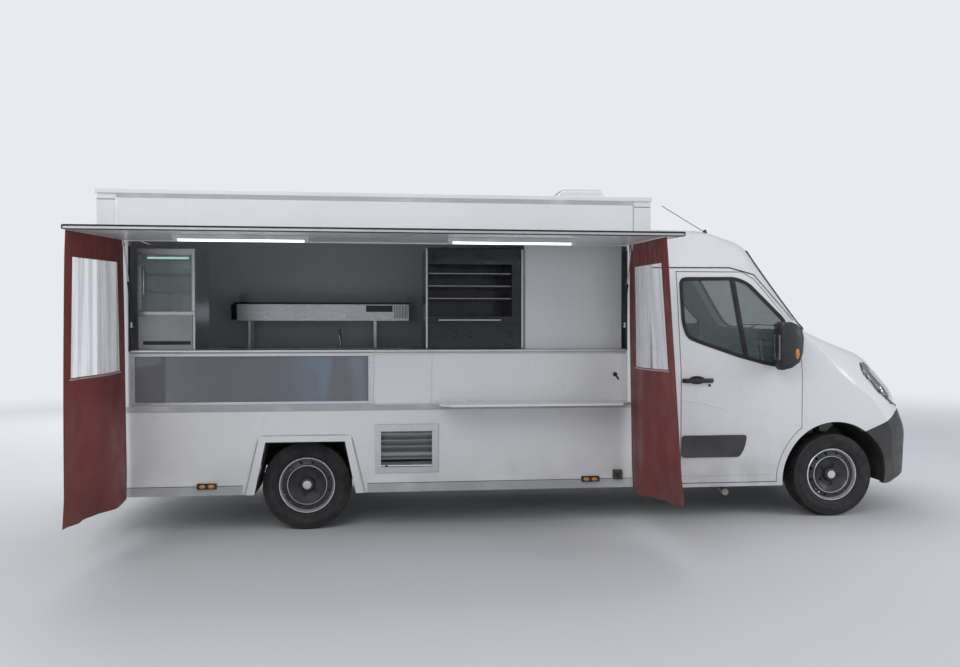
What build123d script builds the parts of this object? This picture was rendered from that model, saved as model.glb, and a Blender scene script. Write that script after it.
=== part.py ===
from build123d import *
from functools import lru_cache
import math
import os

# Food truck: a chassis cab van with a serving box behind the cab.
# Millimetres. +X forward, +Y to the vehicle's left, +Z up.
# Origin on the ground, on the centreline, midway between the axles.

# Running gear
WHEELBASE = 4332.0
FRONT_AXLE_X = WHEELBASE / 2
REAR_AXLE_X = -WHEELBASE / 2
TYRE_R = 346.0
TYRE_W = 225.0
TYRE_SHOULDER = 42.0
RIM_SEAT_R = 203.0
RIM_FLANGE_R = 218.0
RIM_FLANGE_T = 12.0
RIM_W = 186.0
RIM_T = 8.0
WHEEL_Y = 868.0
HUB_BORE_R = 46.0
DISC_OFFSET = 42.0
SEAT_GAP = 0.3
WHEEL_HOLES = 12
WHEEL_HOLE_R = 17.0
WHEEL_HOLE_PCD_R = 158.0

# Steering axis: from the ball joint up to the strut tower, leaning inwards
KING_LOW_Y = 775.0
KING_LOW_Z = 235.0
KING_TOP_Y = 655.0
KING_TOP_Z = 860.0
STRUT_R = 28.0
STRUT_ROD_R = 12.0
STRUT_ROD_L = 140.0
KNUCKLE_STEM_R = 26.0
HUB_R = 78.0
HUB_T = 30.0
HUB_CORE_R = 44.0
DISC_T = 12.0
BRAKE_DISC_R = 148.0
BRAKE_DISC_T = 24.0
STEER_ARM = (170.0, 35.0, 26.0)
DRUM_R = 140.0
DRUM_W = 56.0

# Chassis
RAIL_Y = 430.0
RAIL_W = 62.0
RAIL_H = 130.0
RAIL_TOP_Z = 559.7
RAIL_REAR_X = -3560.0
RAIL_FRONT_X = 1640.0
RAIL_STEP_X = 370.0
RAIL_STEP = 120.0
FRONT_RAIL_Z = 330.0
FRONT_RAIL_H = 90.0
FRONT_RAIL_END_X = 2830.0
CROSS_XS = [-3500.0, -2900.0, -2300.0, -1700.0, -1100.0, -500.0, 100.0, 620.0, 1120.0, 1600.0]
MOUNT_XS = [820.0, 1380.0]
MOUNT_R = 34.0
RAIL_RAMP = 180.0
FRONT_RAMP = 220.0
ARM_Z = (198.0, 228.0)
ARM_HALF = 190.0
ARM_LIMB = 60.0
ARM_BALL_HALF = 34.0
ARM_BALL_OUT = 26.0
CROSS_W = 70.0
CROSS_H = 80.0
CROSS_DROP = 10.0
END_CROSS_W = 60.0
SPRING_Y = 560.0
SPRING_HALF = 620.0
SPRING_W = 66.0
SPRING_T = 14.0
SPRING_EYE_R = 24.0
SPRING_RISE = 80.0
SHACKLE_HALF = 12.0
HANGER_HALF = 40.0
HANGER_H = 55.0
AXLE_BEAM_R = 42.0
TANK = (-560.0, 160.0, 380.0, 255.0)
TANK_CORNER = 45.0

# Box
BOX_REAR_X = -3690.0
BOX_FRONT_X = 550.0
BOX_HALF_W = 1100.0
BOX_TOP_Z = 2620.0
SKIRT_Z = 305.0
FLOOR_TOP_Z = 620.0
FLOOR_T = 60.0
WALL_T = 32.0
ROOF_T = 50.0
HATCH_REAR_X = -3470.0
HATCH_FRONT_X = 365.0
HEADER_Z = 2250.0
FASCIA_Z = 2340.0
FASCIA_PROUD = 14.0
FASCIA_TRIM_H = 34.0
POST_W = 140.0
ARCH_HALF_TOP = 300.0
ARCH_HALF_FOOT = 396.0
ARCH_TOP_Z = 705.0
ARCH_TRIM = 46.0
ARCH_TRIM_PROUD = 16.0
HOUSING_IN_Y = 690.0
HOUSING_TOP_Z = 800.0
HOUSING_T = 8.0
ARCH_FOOT_DROP = 60.0
ROOF_CORNER = 12.0

BEAD_Z = 985.7
BEAD_H = 24.0
BEAD_PROUD = 6.0
LOUVRE_HOLE = (-1610.0, -1170.0, 480.0, 808.0)
REAR_WALL_Z = 470.0
REAR_DOOR_Y = (-330.0, 370.0)
REAR_DOOR_TOP_Z = 2330.0
REAR_DOOR_HINGE_ZS = [800.0, 1480.0, 2160.0]
REAR_HINGE_R = 9.0
REAR_HINGE_L = 90.0
REAR_LEAF = (5.0, 60.0, 80.0)
REAR_HANDLE = (40.0, 70.0, 1240.0, 1420.0, 30.0)

# Serving flap
HINGE_Y = -1105.0
HINGE_Z = 2235.0
FLAP_REACH = 1215.0
FLAP_T = 30.0
FLAP_REAR_X = -3515.0
FLAP_FRONT_X = 400.0
FLAP_DROOP = 2.4
FLAP_EDGE = 34.0
FLAP_PANEL_IN = (2.0, 3.0)
FLAP_RAIL_H = 30.0
HINGE_R = 8.0
LAMP_XS = [-2520.0, -680.0]
LAMP_L = 900.0
LAMP_REACH = 765.0
LAMP_W = 62.0
LAMP_H = 30.0
CURTAIN_T = 6.0
CURTAIN_HEM_Z = 300.0
CURTAIN_INSET = 16.0
CURTAIN_IN_Y = -1135.0

# Gas struts of the flap
GAS_XS = [-3440.0, 335.0]
GAS_FOOT_Y = -1072.0
GAS_FOOT_Z = 1600.0
GAS_PIN_REACH = 200.0
GAS_PIN_DROP = 42.0
GAS_TUBE_R = 11.0
GAS_TUBE_L = 345.0
GAS_ROD_R = 5.0
GAS_ROD_IN = 60.0
GAS_BORE_FROM = 78.0
GAS_NECK = 26.0
GAS_EYE_R = 10.0
GAS_EYE_T = 10.0
GAS_LUG = (14.0, 6.0, 10.0)
GAS_FOOT_LUG = (14.0, 4.0, 20.0)

# Counter
PANEL_Y = -1068.0
PANEL_T = 22.0
PANEL_TOP_Z = 1388.0
WORKTOP_T = 22.0
WORKTOP_OUT_Y = -1094.0
WORKTOP_IN_Y = -480.0
GLASS_REAR_X = -3462.0
GLASS_FRONT_X = -1660.0
FRAME_W = 26.0
PANEL_SPLIT_X = -1195.0
SHELF_REACH = 320.0
SHELF_T = 18.0
SHELF_HINGE_Y = -1082.0
LATCH_PROUD = 9.0
SHELF_TOP_Z = 1004.0
SHELF_REAR_X = -1150.0
SHELF_FRONT_X = 335.0
SHELF_CORNER = 85.0
PANEL_SEAM = (8.0, 5.0)
GLASS_IN = 8.0
WORKTOP_NOSE_R = 8.0
WORKTOP_JOINT = 14.0
UNIT_T = 20.0
UNIT_TOP_T = 12.0
CABINET_PLINTH = 80.0
REAR_UNIT_PLINTH = 200.0
REAR_UNIT_TOP_T = 40.0

WORKTOP_Z = PANEL_TOP_Z + WORKTOP_T
INNER_PANEL_Y = -925.0
INNER_PANEL_T = 25.0
INNER_PANEL_L = 805.0
LATCH = (272.0, 1177.0)
LATCH_R = 17.0
LATCH_LEVER = (7.0, 42.0, 12.0)

# Louvre, inlet, vent, aerial and lamps
LOUVRE_SLATS = 6
LOUVRE_RIM = 24.0
LOUVRE_EDGE = 20.0
LOUVRE_PROUD = 9.0
SLAT = (36.0, 3.0, 38.0)
INLET = (282.0, 410.0)
INLET_HALF = 38.0
INLET_H = 24.0
INLET_CORNER = 10.0
INLET_R = 21.0
INLET_DEEP = 20.0
VENT_X = (20.0, 390.0)
VENT_HALF_W = 190.0
VENT_H = 190.0
VENT_BASE_H = 60.0
VENT_LIP = 18.0
VENT_CORNER = 45.0
AERIAL_R = 3.0
AERIAL_BASE = (24.0, 12.0, 36.0)
AERIAL_FOOT = (1240.0, -480.0, 2400.0)
AERIAL_TIP = (850.0, -480.0, 2640.0)
SIDE_LAMP_XS = [-2900.0, 62.0]
SIDE_LAMP_Z = 378.0
SIDE_LAMP = (72.0, 21.0, 20.0)
REAR_LAMP = (900.0, 1040.0, 470.0, 830.0, 34.0)
REAR_BAR = (64.0, 14.0, 980.0, 330.0, 410.0)
REAR_STEP = (96.0, -300.0, 340.0, 14.0)
REAR_PLATE = (70.0, -870.0, -350.0, 316.0, 426.0)
REAR_BRACKET = (40.0, 20.0, 340.0, 450.0)

# Equipment inside
FRIDGE = (-3440.0, -3012.0, -950.0, -420.0)
FRIDGE_TOP_Z = 2190.0
OVEN = (-1236.0, -452.0, -940.0, -330.0)
OVEN_TOP_Z = 2215.0
OVEN_RACK_ZS = [1800.0, 1900.0, 2000.0]
OVEN_WALL = (20.0, 90.0, 60.0, 260.0, 130.0)
RACK_T = 8.0
FRIDGE_WALL = (22.0, 40.0, 270.0, 60.0)
FRIDGE_SHELVES = (450.0, 590.0)
FRIDGE_SHELF_T = 6.0
CHILLER = (-2960.0, -1320.0, 650.0, 1000.0)
CHILLER_Z = (1640.0, 1800.0)
CHILLER_LEG_XS = [-2848.0, -1649.0]
CHILLER_LEG = (14.0, 40.0, 28.0)
BACK_COUNTER = (-3100.0, 300.0, 480.0, 1060.0)
BACK_COUNTER_Z = 1380.0

# Cab
CAB_REAR_X = 600.0
SILL_Z = 270.0
CAB_FLOOR_Z = 530.0
CAB_WALL = 60.0
CAB_TUNNEL_Z = 462.0
DOOR_REAR_X = 830.0
DOOR_FRONT_X = 1870.0
DOOR_TOP_Z = 2045.0
DOOR_GAP = 7.0
DOOR_T = 46.0
DOOR_FLANGE = 18.0
FRONT_ARCH_R = 450.0
FRONT_ARCH_IN_Y = 520.0
GLASS_T = 5.0
TOWER_Z = 900.0
TOWER_R = 44.0
TOWER_L = 260.0
BAY = (2080.0, 2900.0, 500.0, 900.0)
BAY_UPPER = (2120.0, 2700.0, 850.0, 1150.0)
BAY_LIP = 70.0
UNDERFLOOR = (1620.0, 880.0)
FRONT_TUNNEL = (2100.0, 500.0)
NOSE_HOLLOW = (2650.0, 860.0)
NOSE_LOW_Z = 720.0
CHIN_BACK = 20.0
CHIN_RUN = 90.0
CHIN_Z = 330.0
BELOW = 100.0
WIDE = 1200.0
ENGINE_X = (2220.0, 2720.0)
ENGINE_HALF_W = 410.0
ENGINE_TOP_Z = 1080.0
BONNET_T = 14.0
BONNET_GAP = 8.0
BONNET_HINGE_X = 2000.0
BONNET_HINGE_Z = 1530.0
BONNET_FRONT_R = 956.0
WHEEL_SEAT_Y = 440.0
STEERING_R = 200.0
STEERING_TILT = 32.0
STEERING_CENTRE = (1480.0, WHEEL_SEAT_Y, 1260.0)
STEERING_RIM_R = 14.0
STEERING_HUB = (62.0, 40.0)
STEERING_SPOKE = (34.0, 18.0)
COLUMN = (30.0, 400.0, 220.0)
DASH = [(1700, 930), (1640, 1180), (1700, 1330), (1960, 1350), (2080, 1400), (2400, 1400), (2400, 930)]
DASH_HALF_W = 860.0
SEATS = [(WHEEL_SEAT_Y, 500.0), (-330.0, 900.0)]
SEAT_FOOT = (760.0, 1180.0, 760.0, 20.0)
SEAT_CUSHION = [(735, 760), (1190, 760), (1220, 800), (1215, 862), (1150, 884), (900, 862), (735, 872)]
SEAT_BACK = [(705, 840), (830, 850), (812, 1040), (760, 1300), (742, 1490), (712, 1508), (668, 1500),
             (664, 1400)]
SEAT_HEAD = [(668, 1535), (745, 1535), (742, 1660), (715, 1680), (672, 1676)]
SEAT_HEAD_HALF = 120.0
SEAT_POST = (7.0, 50.0, 708.0)
SEAT_PLACE_W = 480.0
MIRROR_X = (1572.0, 1712.0)
MIRROR_Y = (1085.0, 1235.0)
MIRROR_Z = (1232.0, 1640.0)
MIRROR_CORNER = 55.0
MIRROR_BACK_R = 25.0
MIRROR_ARM = [(1640, 1095), (1700, 1095), (1800, 1010), (1800, 940), (1715, 940), (1690, 1050)]
MIRROR_ARM_Z = (1250.0, 1330.0)
HANDLE = (830.0, 1100.0, 1000.0, 1078.0, 1128.0, 1166.0)
HANDLE_CORNER = 14.0
MOULDING = [(840, 520), (1330, 520), (1372, 600), (1392, 700), (840, 700)]
MOULDING_Y = (1000.0, 1048.0)

# Side outlines of the cab, one row for each distance from the centreline.
# Columns: y, roof z, header start x z, screen top x z, screen foot x z, bonnet x z, brow x z, nose x
CAB_STATIONS = [
    (0.0, 2462, 1250, 2455, 1620, 2340, 2200, 1515, 2720, 1345, 2960, 1040, 3008),
    (620.0, 2402, 1200, 2390, 1540, 2270, 2090, 1530, 2620, 1325, 2900, 1010, 2972),
    (880.0, 2290, 1130, 2270, 1420, 2140, 1935, 1555, 2430, 1285, 2720, 1000, 2860),
    (1060.0, 2120, 1010, 2100, 1260, 1970, 1760, 1500, 2160, 1150, 2450, 960, 2580),
]

# Radii of the side outline's corners, from the rear foot over the roof to the nose's foot
CAB_SIDE_RADII = [0, 0, 600, 300, 0, 420, 300, 300, 60, 0]

# Front outline of the cab's left half, in Y and Z, with the radius of each corner
CAB_FRONT = [(985, SILL_Z - 20), (1030, 560), (1036, 1200), (905, 2050), (620, 2445), (300, 2700)]
CAB_FRONT_RADII = [0, 800, 900, 260, 500, 0]

# Side outline of the cab door. The front edge follows the wheel arch below.
DOOR_ARCH_R = 500.0
DOOR_SILL_Z = 300.0
DOOR_HEAD_X = 1400.0
DOOR_SLOPE = [(1500, 1985), (1808, 1610)]
DOOR_SLOPE_FOOT_Z = 1490.0
DOOR_LEAD = (1690.0, 1880.0, 1500.0, 1760.0)
DOOR_LEAD_GAP = 6.0
WINDOW = [(868, 1980), (1335, 1985), (1440, 1945), (1735, 1640), (1745, 1560), (1690, 1264),
          (1560, 1284), (1330, 1348), (1000, 1462), (905, 1502), (872, 1620)]
WINDOW_BAR = [(1300, 2000), (1322, 2000), (1402, 1320), (1380, 1320)]
SCREEN = [(0, 1545), (500, 1552), (770, 1585), (800, 1625), (705, 2160), (660, 2228), (350, 2262), (0, 2272)]
BONNET_ARCS = {"rear": (2045, 790, 2288), "side": (2500, 738), "front": (2775, 560, 3050)}
LAMP_SIDE = [(2462, 1278), (2440, 1200), (2560, 1040), (2700, 930), (2860, 885), (3100, 885), (3100, 1290)]
LAMP_IN_Y = 590.0
GLASS_DEEP = 4.3
CABIN = [(CAB_REAR_X + CAB_WALL, CAB_FLOOR_Z), (1640, CAB_FLOOR_Z), (1930, 870), (2020, 1280), (2190, 1440),
         (2290, 1500), (2290, 2600), (CAB_REAR_X + CAB_WALL, 2600)]
BUMPER_SIDE = [(2300, 600), (2405, 705), (2560, 770), (2760, 868), (2860, 885), (3100, 885), (3100, 200),
               (2300, 200)]
BUMPER_CENTRE_X = 2420.0
AIR_INLET = (-420.0, 420.0, 560.0, 700.0)
GRILLE = [(-560, 885), (560, 885), (520, 1075), (-520, 1075)]
GRILLE_SLATS = 4
GRILLE_SLAT_H = 16.0


def block(x0, x1, y0, y1, z0, z1):
    """A box between two corners."""
    centre = Location(((x0 + x1) / 2, (y0 + y1) / 2, (z0 + z1) / 2))
    return centre * Box(x1 - x0, y1 - y0, z1 - z0)


def side_prism(points, y0, y1):
    """A side view outline, drawn in X and Z, pulled from y0 to y1."""
    outline = Polyline(*[(x, 0, z) for x, z in points], close=True)
    face = make_face(outline)
    solid = extrude(face, amount=y1 - y0, dir=(0, 1, 0))
    return Location((0, y0, 0)) * solid


def plan_prism(points, z0, z1):
    """A plan outline, drawn in X and Y, pulled from z0 to z1."""
    face = make_face(Polyline(*[(x, y, 0) for x, y in points], close=True))
    return Location((0, 0, z0)) * extrude(face, amount=z1 - z0, dir=(0, 0, 1))


def front_prism(points, x0, x1):
    """A front view outline, drawn in Y and Z, pulled from x0 to x1."""
    face = make_face(Polyline(*[(0, y, z) for y, z in points], close=True))
    return Location((x0, 0, 0)) * extrude(face, amount=x1 - x0, dir=(1, 0, 0))


def rod_y(x, z, radius, y0, y1):
    """A cylinder along Y."""
    place = Location((x, (y0 + y1) / 2, z)) * Rotation(90, 0, 0)
    return place * Cylinder(radius, y1 - y0)


def rod_x(y, z, radius, x0, x1):
    """A cylinder along X."""
    place = Location(((x0 + x1) / 2, y, z)) * Rotation(0, 90, 0)
    return place * Cylinder(radius, x1 - x0)


def rod_between(a, b, radius):
    """A cylinder from point a to point b."""
    start = Vector(*a)
    run = Vector(*b) - start
    plane = Plane(origin=start, z_dir=run)
    return extrude(plane * Circle(radius), amount=run.length)


def mirrored(solid):
    """The same piece on the other side of the centreline."""
    return mirror(solid, about=Plane.XZ)


def joined(pieces):
    """One shape from pieces that touch."""
    result = pieces[0]
    for piece in pieces[1:]:
        result = result + piece
    return result


# Wheels

def tyre():
    """Tyre on its own axis, along Y."""
    half = TYRE_W / 2
    bead = RIM_W / 2 - RIM_FLANGE_T
    side = [(RIM_SEAT_R, bead - SEAT_GAP), (RIM_FLANGE_R + 2, bead - SEAT_GAP), (RIM_FLANGE_R + 14, half - 8),
            (TYRE_R - TYRE_SHOULDER, half), (TYRE_R - 8, half - 24), (TYRE_R, half - TYRE_SHOULDER)]
    profile = Polyline(*[(r, -y) for r, y in side], *reversed(side), close=True)
    return Rotation(-90, 0, 0) * revolve_z(profile)


def revolve_z(profile):
    """Turn an outline of radius and height about the Z axis."""
    face = make_face(Plane.XZ * profile)
    return revolve(face, Axis.Z)


def rim():
    """Steel wheel on its own axis along Y, its outer side at positive Y."""
    half = RIM_W / 2
    seat = RIM_SEAT_R - SEAT_GAP
    barrel = Polyline(
        (seat, -half + RIM_FLANGE_T), (RIM_FLANGE_R, -half + RIM_FLANGE_T), (RIM_FLANGE_R, -half),
        (seat - RIM_T, -half), (seat - RIM_T - 22, -20), (seat - RIM_T - 22, 30),
        (seat - RIM_T, half), (RIM_FLANGE_R, half), (RIM_FLANGE_R, half - RIM_FLANGE_T),
        (seat, half - RIM_FLANGE_T), close=True)
    hoop = revolve_z(barrel)
    face_out = DISC_OFFSET
    disc = Polyline(
        (HUB_BORE_R, face_out - 6), (95, face_out - 6), (112, face_out + 22), (128, face_out + 22),
        (seat - RIM_T - 21, 12), (seat - RIM_T - 21, 26), (134, face_out + 34), (106, face_out + 34),
        (88, face_out + 6), (HUB_BORE_R, face_out + 6), close=True)
    plate = revolve_z(disc)
    for k in range(WHEEL_HOLES):
        turn = Rotation(0, 0, 360.0 * k / WHEEL_HOLES)
        plate = plate - turn * Location((WHEEL_HOLE_PCD_R, 0, face_out)) * Cylinder(WHEEL_HOLE_R, 120)
    cap = Polyline((0, face_out - 2), (HUB_BORE_R + 16, face_out + 7), (HUB_BORE_R + 10, face_out + 22),
                   (HUB_BORE_R - 12, face_out + 34), (0, face_out + 36), close=True)
    return Rotation(-90, 0, 0) * (hoop + plate + revolve_z(cap))


def place_wheel(solid, x, side):
    """Stand a wheel piece at its axle; side is 1 on the left and -1 on the right."""
    turned = solid if side > 0 else Rotation(0, 0, 180) * solid
    return Location((x, side * WHEEL_Y, TYRE_R)) * turned


def wheel_parts():
    parts = {}
    for end, x in (("front", FRONT_AXLE_X), ("rear", REAR_AXLE_X)):
        for name, side in (("left", 1), ("right", -1)):
            parts[f"tyre_{end}_{name}"] = place_wheel(tyre(), x, side)
            parts[f"rim_{end}_{name}"] = place_wheel(rim(), x, side)
    return parts


# Running gear

def king_point(z):
    """Point of the left steering axis at height z."""
    share = (z - KING_LOW_Z) / (KING_TOP_Z - KING_LOW_Z)
    return (FRONT_AXLE_X, KING_LOW_Y + (KING_TOP_Y - KING_LOW_Y) * share, z)


def hub_face():
    """Distance from the centreline to the face that a wheel disc seats on."""
    return WHEEL_Y + DISC_OFFSET - DISC_T / 2 - SEAT_GAP


def knuckle():
    """Left knuckle: hub, carrier, strut, brake disc and steering arm."""
    x = FRONT_AXLE_X
    face = hub_face()
    hub = rod_y(x, TYRE_R, HUB_R, face - HUB_T, face)
    brake = rod_y(x, TYRE_R, BRAKE_DISC_R, face - HUB_T - 2 - BRAKE_DISC_T, face - HUB_T - 2)
    core = rod_y(x, TYRE_R, HUB_CORE_R, face - 150, face - 20)
    stem = rod_between(king_point(KING_LOW_Z), king_point(TYRE_R + 60), KNUCKLE_STEM_R)
    strut = rod_between(king_point(TYRE_R + 40), king_point(KING_TOP_Z - STRUT_ROD_L + 20), STRUT_R)
    shaft = rod_between(king_point(KING_TOP_Z - STRUT_ROD_L), king_point(KING_TOP_Z), STRUT_ROD_R)
    reach, width, height = STEER_ARM
    inner = king_point(TYRE_R - 60)[1] - 50
    arm = block(x - reach, x, inner, inner + width, TYRE_R - 50 - height, TYRE_R - 50)
    return joined([hub, brake, core, stem, strut, shaft, arm])


def rear_axle():
    """Beam, stub axles and brake drums."""
    x = REAR_AXLE_X
    face = hub_face()
    drum = face - HUB_T - 4
    pieces = [rod_y(x, TYRE_R, AXLE_BEAM_R, -face + 90, face - 90)]
    for side in (1, -1):
        lo, hi = sorted((side * (face - 100), side * face))
        pieces.append(rod_y(x, TYRE_R, HUB_R, lo, hi))
        lo, hi = sorted((side * (drum - DRUM_W), side * drum))
        pieces.append(rod_y(x, TYRE_R, DRUM_R, lo, hi))
    return joined(pieces)


def rear_springs():
    """Leaf springs under the rails, one a side, hung from the rails' outer faces."""
    solids = []
    seat_z = TYRE_R - AXLE_BEAM_R - SEAT_GAP
    mid_z = seat_z - SPRING_T / 2
    eye_z = mid_z + SPRING_RISE
    rail_z0 = RAIL_TOP_Z - RAIL_H
    for side in (1, -1):
        y = side * SPRING_Y
        y0, y1 = y - SPRING_W / 2, y + SPRING_W / 2
        arc = ThreePointArc((REAR_AXLE_X - SPRING_HALF, eye_z), (REAR_AXLE_X, mid_z),
                            (REAR_AXLE_X + SPRING_HALF, eye_z))
        leaf_face = make_face(Plane.XZ * offset_band(arc, SPRING_T / 2))
        leaf = Location((0, y1, 0)) * extrude(leaf_face, amount=SPRING_W)
        inner, outer = sorted((side * (RAIL_Y + RAIL_W / 2 + SEAT_GAP), y))
        for end in (-1, 1):
            ex = REAR_AXLE_X + end * SPRING_HALF
            leaf = leaf + rod_y(ex, eye_z, SPRING_EYE_R, y0, y1)
            leaf = leaf + block(ex - SHACKLE_HALF, ex + SHACKLE_HALF, y0, y1, eye_z, rail_z0 + HANGER_HALF)
            leaf = leaf + block(ex - HANGER_HALF, ex + HANGER_HALF, inner, outer, rail_z0 + 5,
                                rail_z0 + 5 + HANGER_H)
        solids.append(leaf)
    return solids


def offset_band(arc, half):
    """A closed outline of constant thickness about an arc drawn in X and Y."""
    start, mid, end = arc @ 0, arc @ 0.5, arc @ 1
    up = ThreePointArc((start.X, start.Y + half), (mid.X, mid.Y + half), (end.X, end.Y + half))
    down = ThreePointArc((start.X, start.Y - half), (mid.X, mid.Y - half), (end.X, end.Y - half))
    left = Line(down @ 0, up @ 0)
    right = Line(up @ 1, down @ 1)
    return Wire([*up.edges(), *right.edges(), *down.edges(), *left.edges()])


def chassis_frame():
    """Two long rails with cross members, and the lower front rails under the cab."""
    pieces = []
    rail_z0 = RAIL_TOP_Z - RAIL_H
    low_top = RAIL_TOP_Z - RAIL_STEP
    front_top = FRONT_RAIL_Z + FRONT_RAIL_H
    ramp_x = RAIL_STEP_X + RAIL_RAMP
    for side in (1, -1):
        y0 = side * RAIL_Y - RAIL_W / 2
        y1 = side * RAIL_Y + RAIL_W / 2
        path = [(RAIL_REAR_X, rail_z0), (RAIL_REAR_X, RAIL_TOP_Z), (RAIL_STEP_X, RAIL_TOP_Z),
                (ramp_x, low_top), (RAIL_FRONT_X, low_top), (RAIL_FRONT_X + FRONT_RAMP, front_top),
                (FRONT_RAIL_END_X, front_top), (FRONT_RAIL_END_X, FRONT_RAIL_Z), (ramp_x, FRONT_RAIL_Z),
                (RAIL_STEP_X, rail_z0)]
        pieces.append(side_prism(path, y0, y1))
    for x in CROSS_XS:
        high = (RAIL_TOP_Z if x < RAIL_STEP_X else low_top) - CROSS_DROP
        pieces.append(block(x - CROSS_W / 2, x + CROSS_W / 2, -RAIL_Y, RAIL_Y, high - CROSS_H, high))
    pieces.append(block(FRONT_RAIL_END_X - END_CROSS_W, FRONT_RAIL_END_X, -RAIL_Y, RAIL_Y,
                        FRONT_RAIL_Z + 5, front_top - 5))
    for side in (1, -1):
        for x in MOUNT_XS:
            top = CAB_TUNNEL_Z - SEAT_GAP
            low = low_top - 5
            pieces.append(Location((x, side * RAIL_Y, (top + low) / 2)) * Cylinder(MOUNT_R, top - low))
        arm = lower_arm()
        pieces.append(arm if side > 0 else mirrored(arm))
    return joined(pieces)


def lower_arm():
    """Left lower suspension arm, a forked plate under the front rail, with its bracket."""
    x, ball_y, root_y = FRONT_AXLE_X, KING_LOW_Y + ARM_BALL_OUT, RAIL_Y - 20
    fork = ARM_HALF - ARM_LIMB
    arm = plan_prism([(x - ARM_HALF, root_y), (x - fork, root_y), (x, KING_LOW_Y - 2 * ARM_LIMB),
                      (x + fork, root_y), (x + ARM_HALF, root_y), (x + ARM_BALL_HALF, ball_y),
                      (x - ARM_BALL_HALF, ball_y)], *ARM_Z)
    return arm + block(x - ARM_HALF - 5, x + ARM_HALF + 5, RAIL_Y - 30, RAIL_Y + 26, ARM_Z[0],
                       FRONT_RAIL_Z + 5)


# Cab

def inset_outline(points, gap):
    """Move each side of a closed outline inwards by gap and meet them again."""
    if gap == 0:
        return points
    count = len(points)
    area = sum(points[i][0] * points[(i + 1) % count][1] - points[(i + 1) % count][0] * points[i][1]
               for i in range(count))
    turn = 1 if area > 0 else -1
    lines = []
    for i in range(count):
        ax, az = points[i]
        bx, bz = points[(i + 1) % count]
        run = math.hypot(bx - ax, bz - az)
        nx, nz = -(bz - az) / run * turn, (bx - ax) / run * turn
        lines.append((ax + nx * gap, az + nz * gap, bx - ax, bz - az))
    result = []
    for i in range(count):
        px, pz, dx, dz = lines[i - 1]
        qx, qz, ex, ez = lines[i]
        cross = dx * ez - dz * ex
        t = ((qx - px) * ez - (qz - pz) * ex) / cross
        result.append((px + dx * t, pz + dz * t))
    return result


def rounded(points, radii):
    """A closed wire through points, each corner turned by an arc of its radius, or sharp at 0."""
    count = len(points)
    edges = []
    joints = []
    for i in range(count):
        corner = Vector(*points[i])
        back = Vector(*points[i - 1]) - corner
        ahead = Vector(*points[(i + 1) % count]) - corner
        radius = radii[i]
        if radius == 0:
            joints.append((corner, corner))
            continue
        half = math.radians(back.get_angle(ahead)) / 2
        reach = radius / math.tan(half)
        bisector = (back.normalized() + ahead.normalized()).normalized()
        middle = corner + bisector * (radius / math.sin(half) - radius)
        start = corner + back.normalized() * reach
        end = corner + ahead.normalized() * reach
        joints.append((start, end))
        edges.append(ThreePointArc(start, middle, end).edge())
    for i in range(count):
        edges.append(Edge.make_line(joints[i - 1][1], joints[i][0]))
    return Wire(edges)


def cab_section(row, gap):
    """One closed side outline of the cab, rounded at its corners. Its foot stays at the sill."""
    y, roof, hx, hz, tx, tz, fx, fz, bx, bz, wx, wz, nose = row
    foot = SILL_Z - gap
    chin = nose - CHIN_BACK
    lean = CHIN_RUN / (CHIN_Z - SILL_Z)
    points = [(CAB_REAR_X, foot), (CAB_REAR_X, roof), (hx, hz), (tx, tz), (fx, fz), (bx, bz), (wx, wz),
              (nose, NOSE_LOW_Z), (chin, CHIN_Z), (chin - lean * (CHIN_Z - foot), foot)]
    points = inset_outline(points, gap)
    return rounded([(x, y, z) for x, z in points], CAB_SIDE_RADII)


@lru_cache(maxsize=None)
def cab_form(gap=0.0):
    """The cab's outer form, or the same form with its surface moved in by gap, open at its foot."""
    rows = [(-r[0],) + r[1:] for r in reversed(CAB_STATIONS[1:])] + CAB_STATIONS
    body = loft([make_face(cab_section(r, gap)) for r in rows])
    (foot_y, foot_z), (next_y, next_z) = CAB_FRONT[:2]
    lean = (next_y - foot_y) / (next_z - foot_z)
    foot = (foot_y - lean * gap, foot_z - gap)
    half = inset_outline([(0, foot[1]), foot] + CAB_FRONT[1:] + [(0, CAB_FRONT[-1][1])], gap)[1:-1]
    outline = half + [(-y, z) for y, z in reversed(half)]
    radii = CAB_FRONT_RADII + CAB_FRONT_RADII[::-1]
    face = make_face(rounded([(0, y, z) for y, z in outline], radii))
    tunnel = Location((CAB_REAR_X - 100, 0, 0)) * extrude(face, amount=2700, dir=(1, 0, 0))
    return body & tunnel


def door_outline(gap):
    """Door outline in X and Z, moved in by gap on every side."""
    radius = DOOR_ARCH_R + gap
    front = DOOR_FRONT_X - gap
    foot = DOOR_SILL_Z + gap
    front_z = TYRE_R + math.sqrt(radius ** 2 - (FRONT_AXLE_X - front) ** 2)
    foot_x = FRONT_AXLE_X - math.sqrt(radius ** 2 - (foot - TYRE_R) ** 2)
    half = math.radians(162)
    bend = (FRONT_AXLE_X + radius * math.cos(half), TYRE_R + radius * math.sin(half))
    top = DOOR_TOP_Z - gap
    rear = DOOR_REAR_X + gap
    (high_x, high_z), (low_x, low_z) = DOOR_SLOPE
    line = Polyline((foot_x, 0, foot), (rear, 0, foot), (rear, 0, top), (DOOR_HEAD_X - gap * 0.5, 0, top),
                    (high_x - gap * 0.8, 0, high_z - gap * 0.8), (low_x - gap * 0.8, 0, low_z - gap * 0.5),
                    (front, 0, DOOR_SLOPE_FOOT_Z - gap * 0.4), (front, 0, front_z))
    arc = ThreePointArc((front, 0, front_z), (bend[0], 0, bend[1]), (foot_x, 0, foot))
    return make_face(Wire([*line.edges(), *arc.edges()]))


def door_prism(gap):
    """The door outline pulled across the left side of the cab."""
    return Location((0, 600, 0)) * extrude(door_outline(gap), amount=600, dir=(0, 1, 0))


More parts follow.
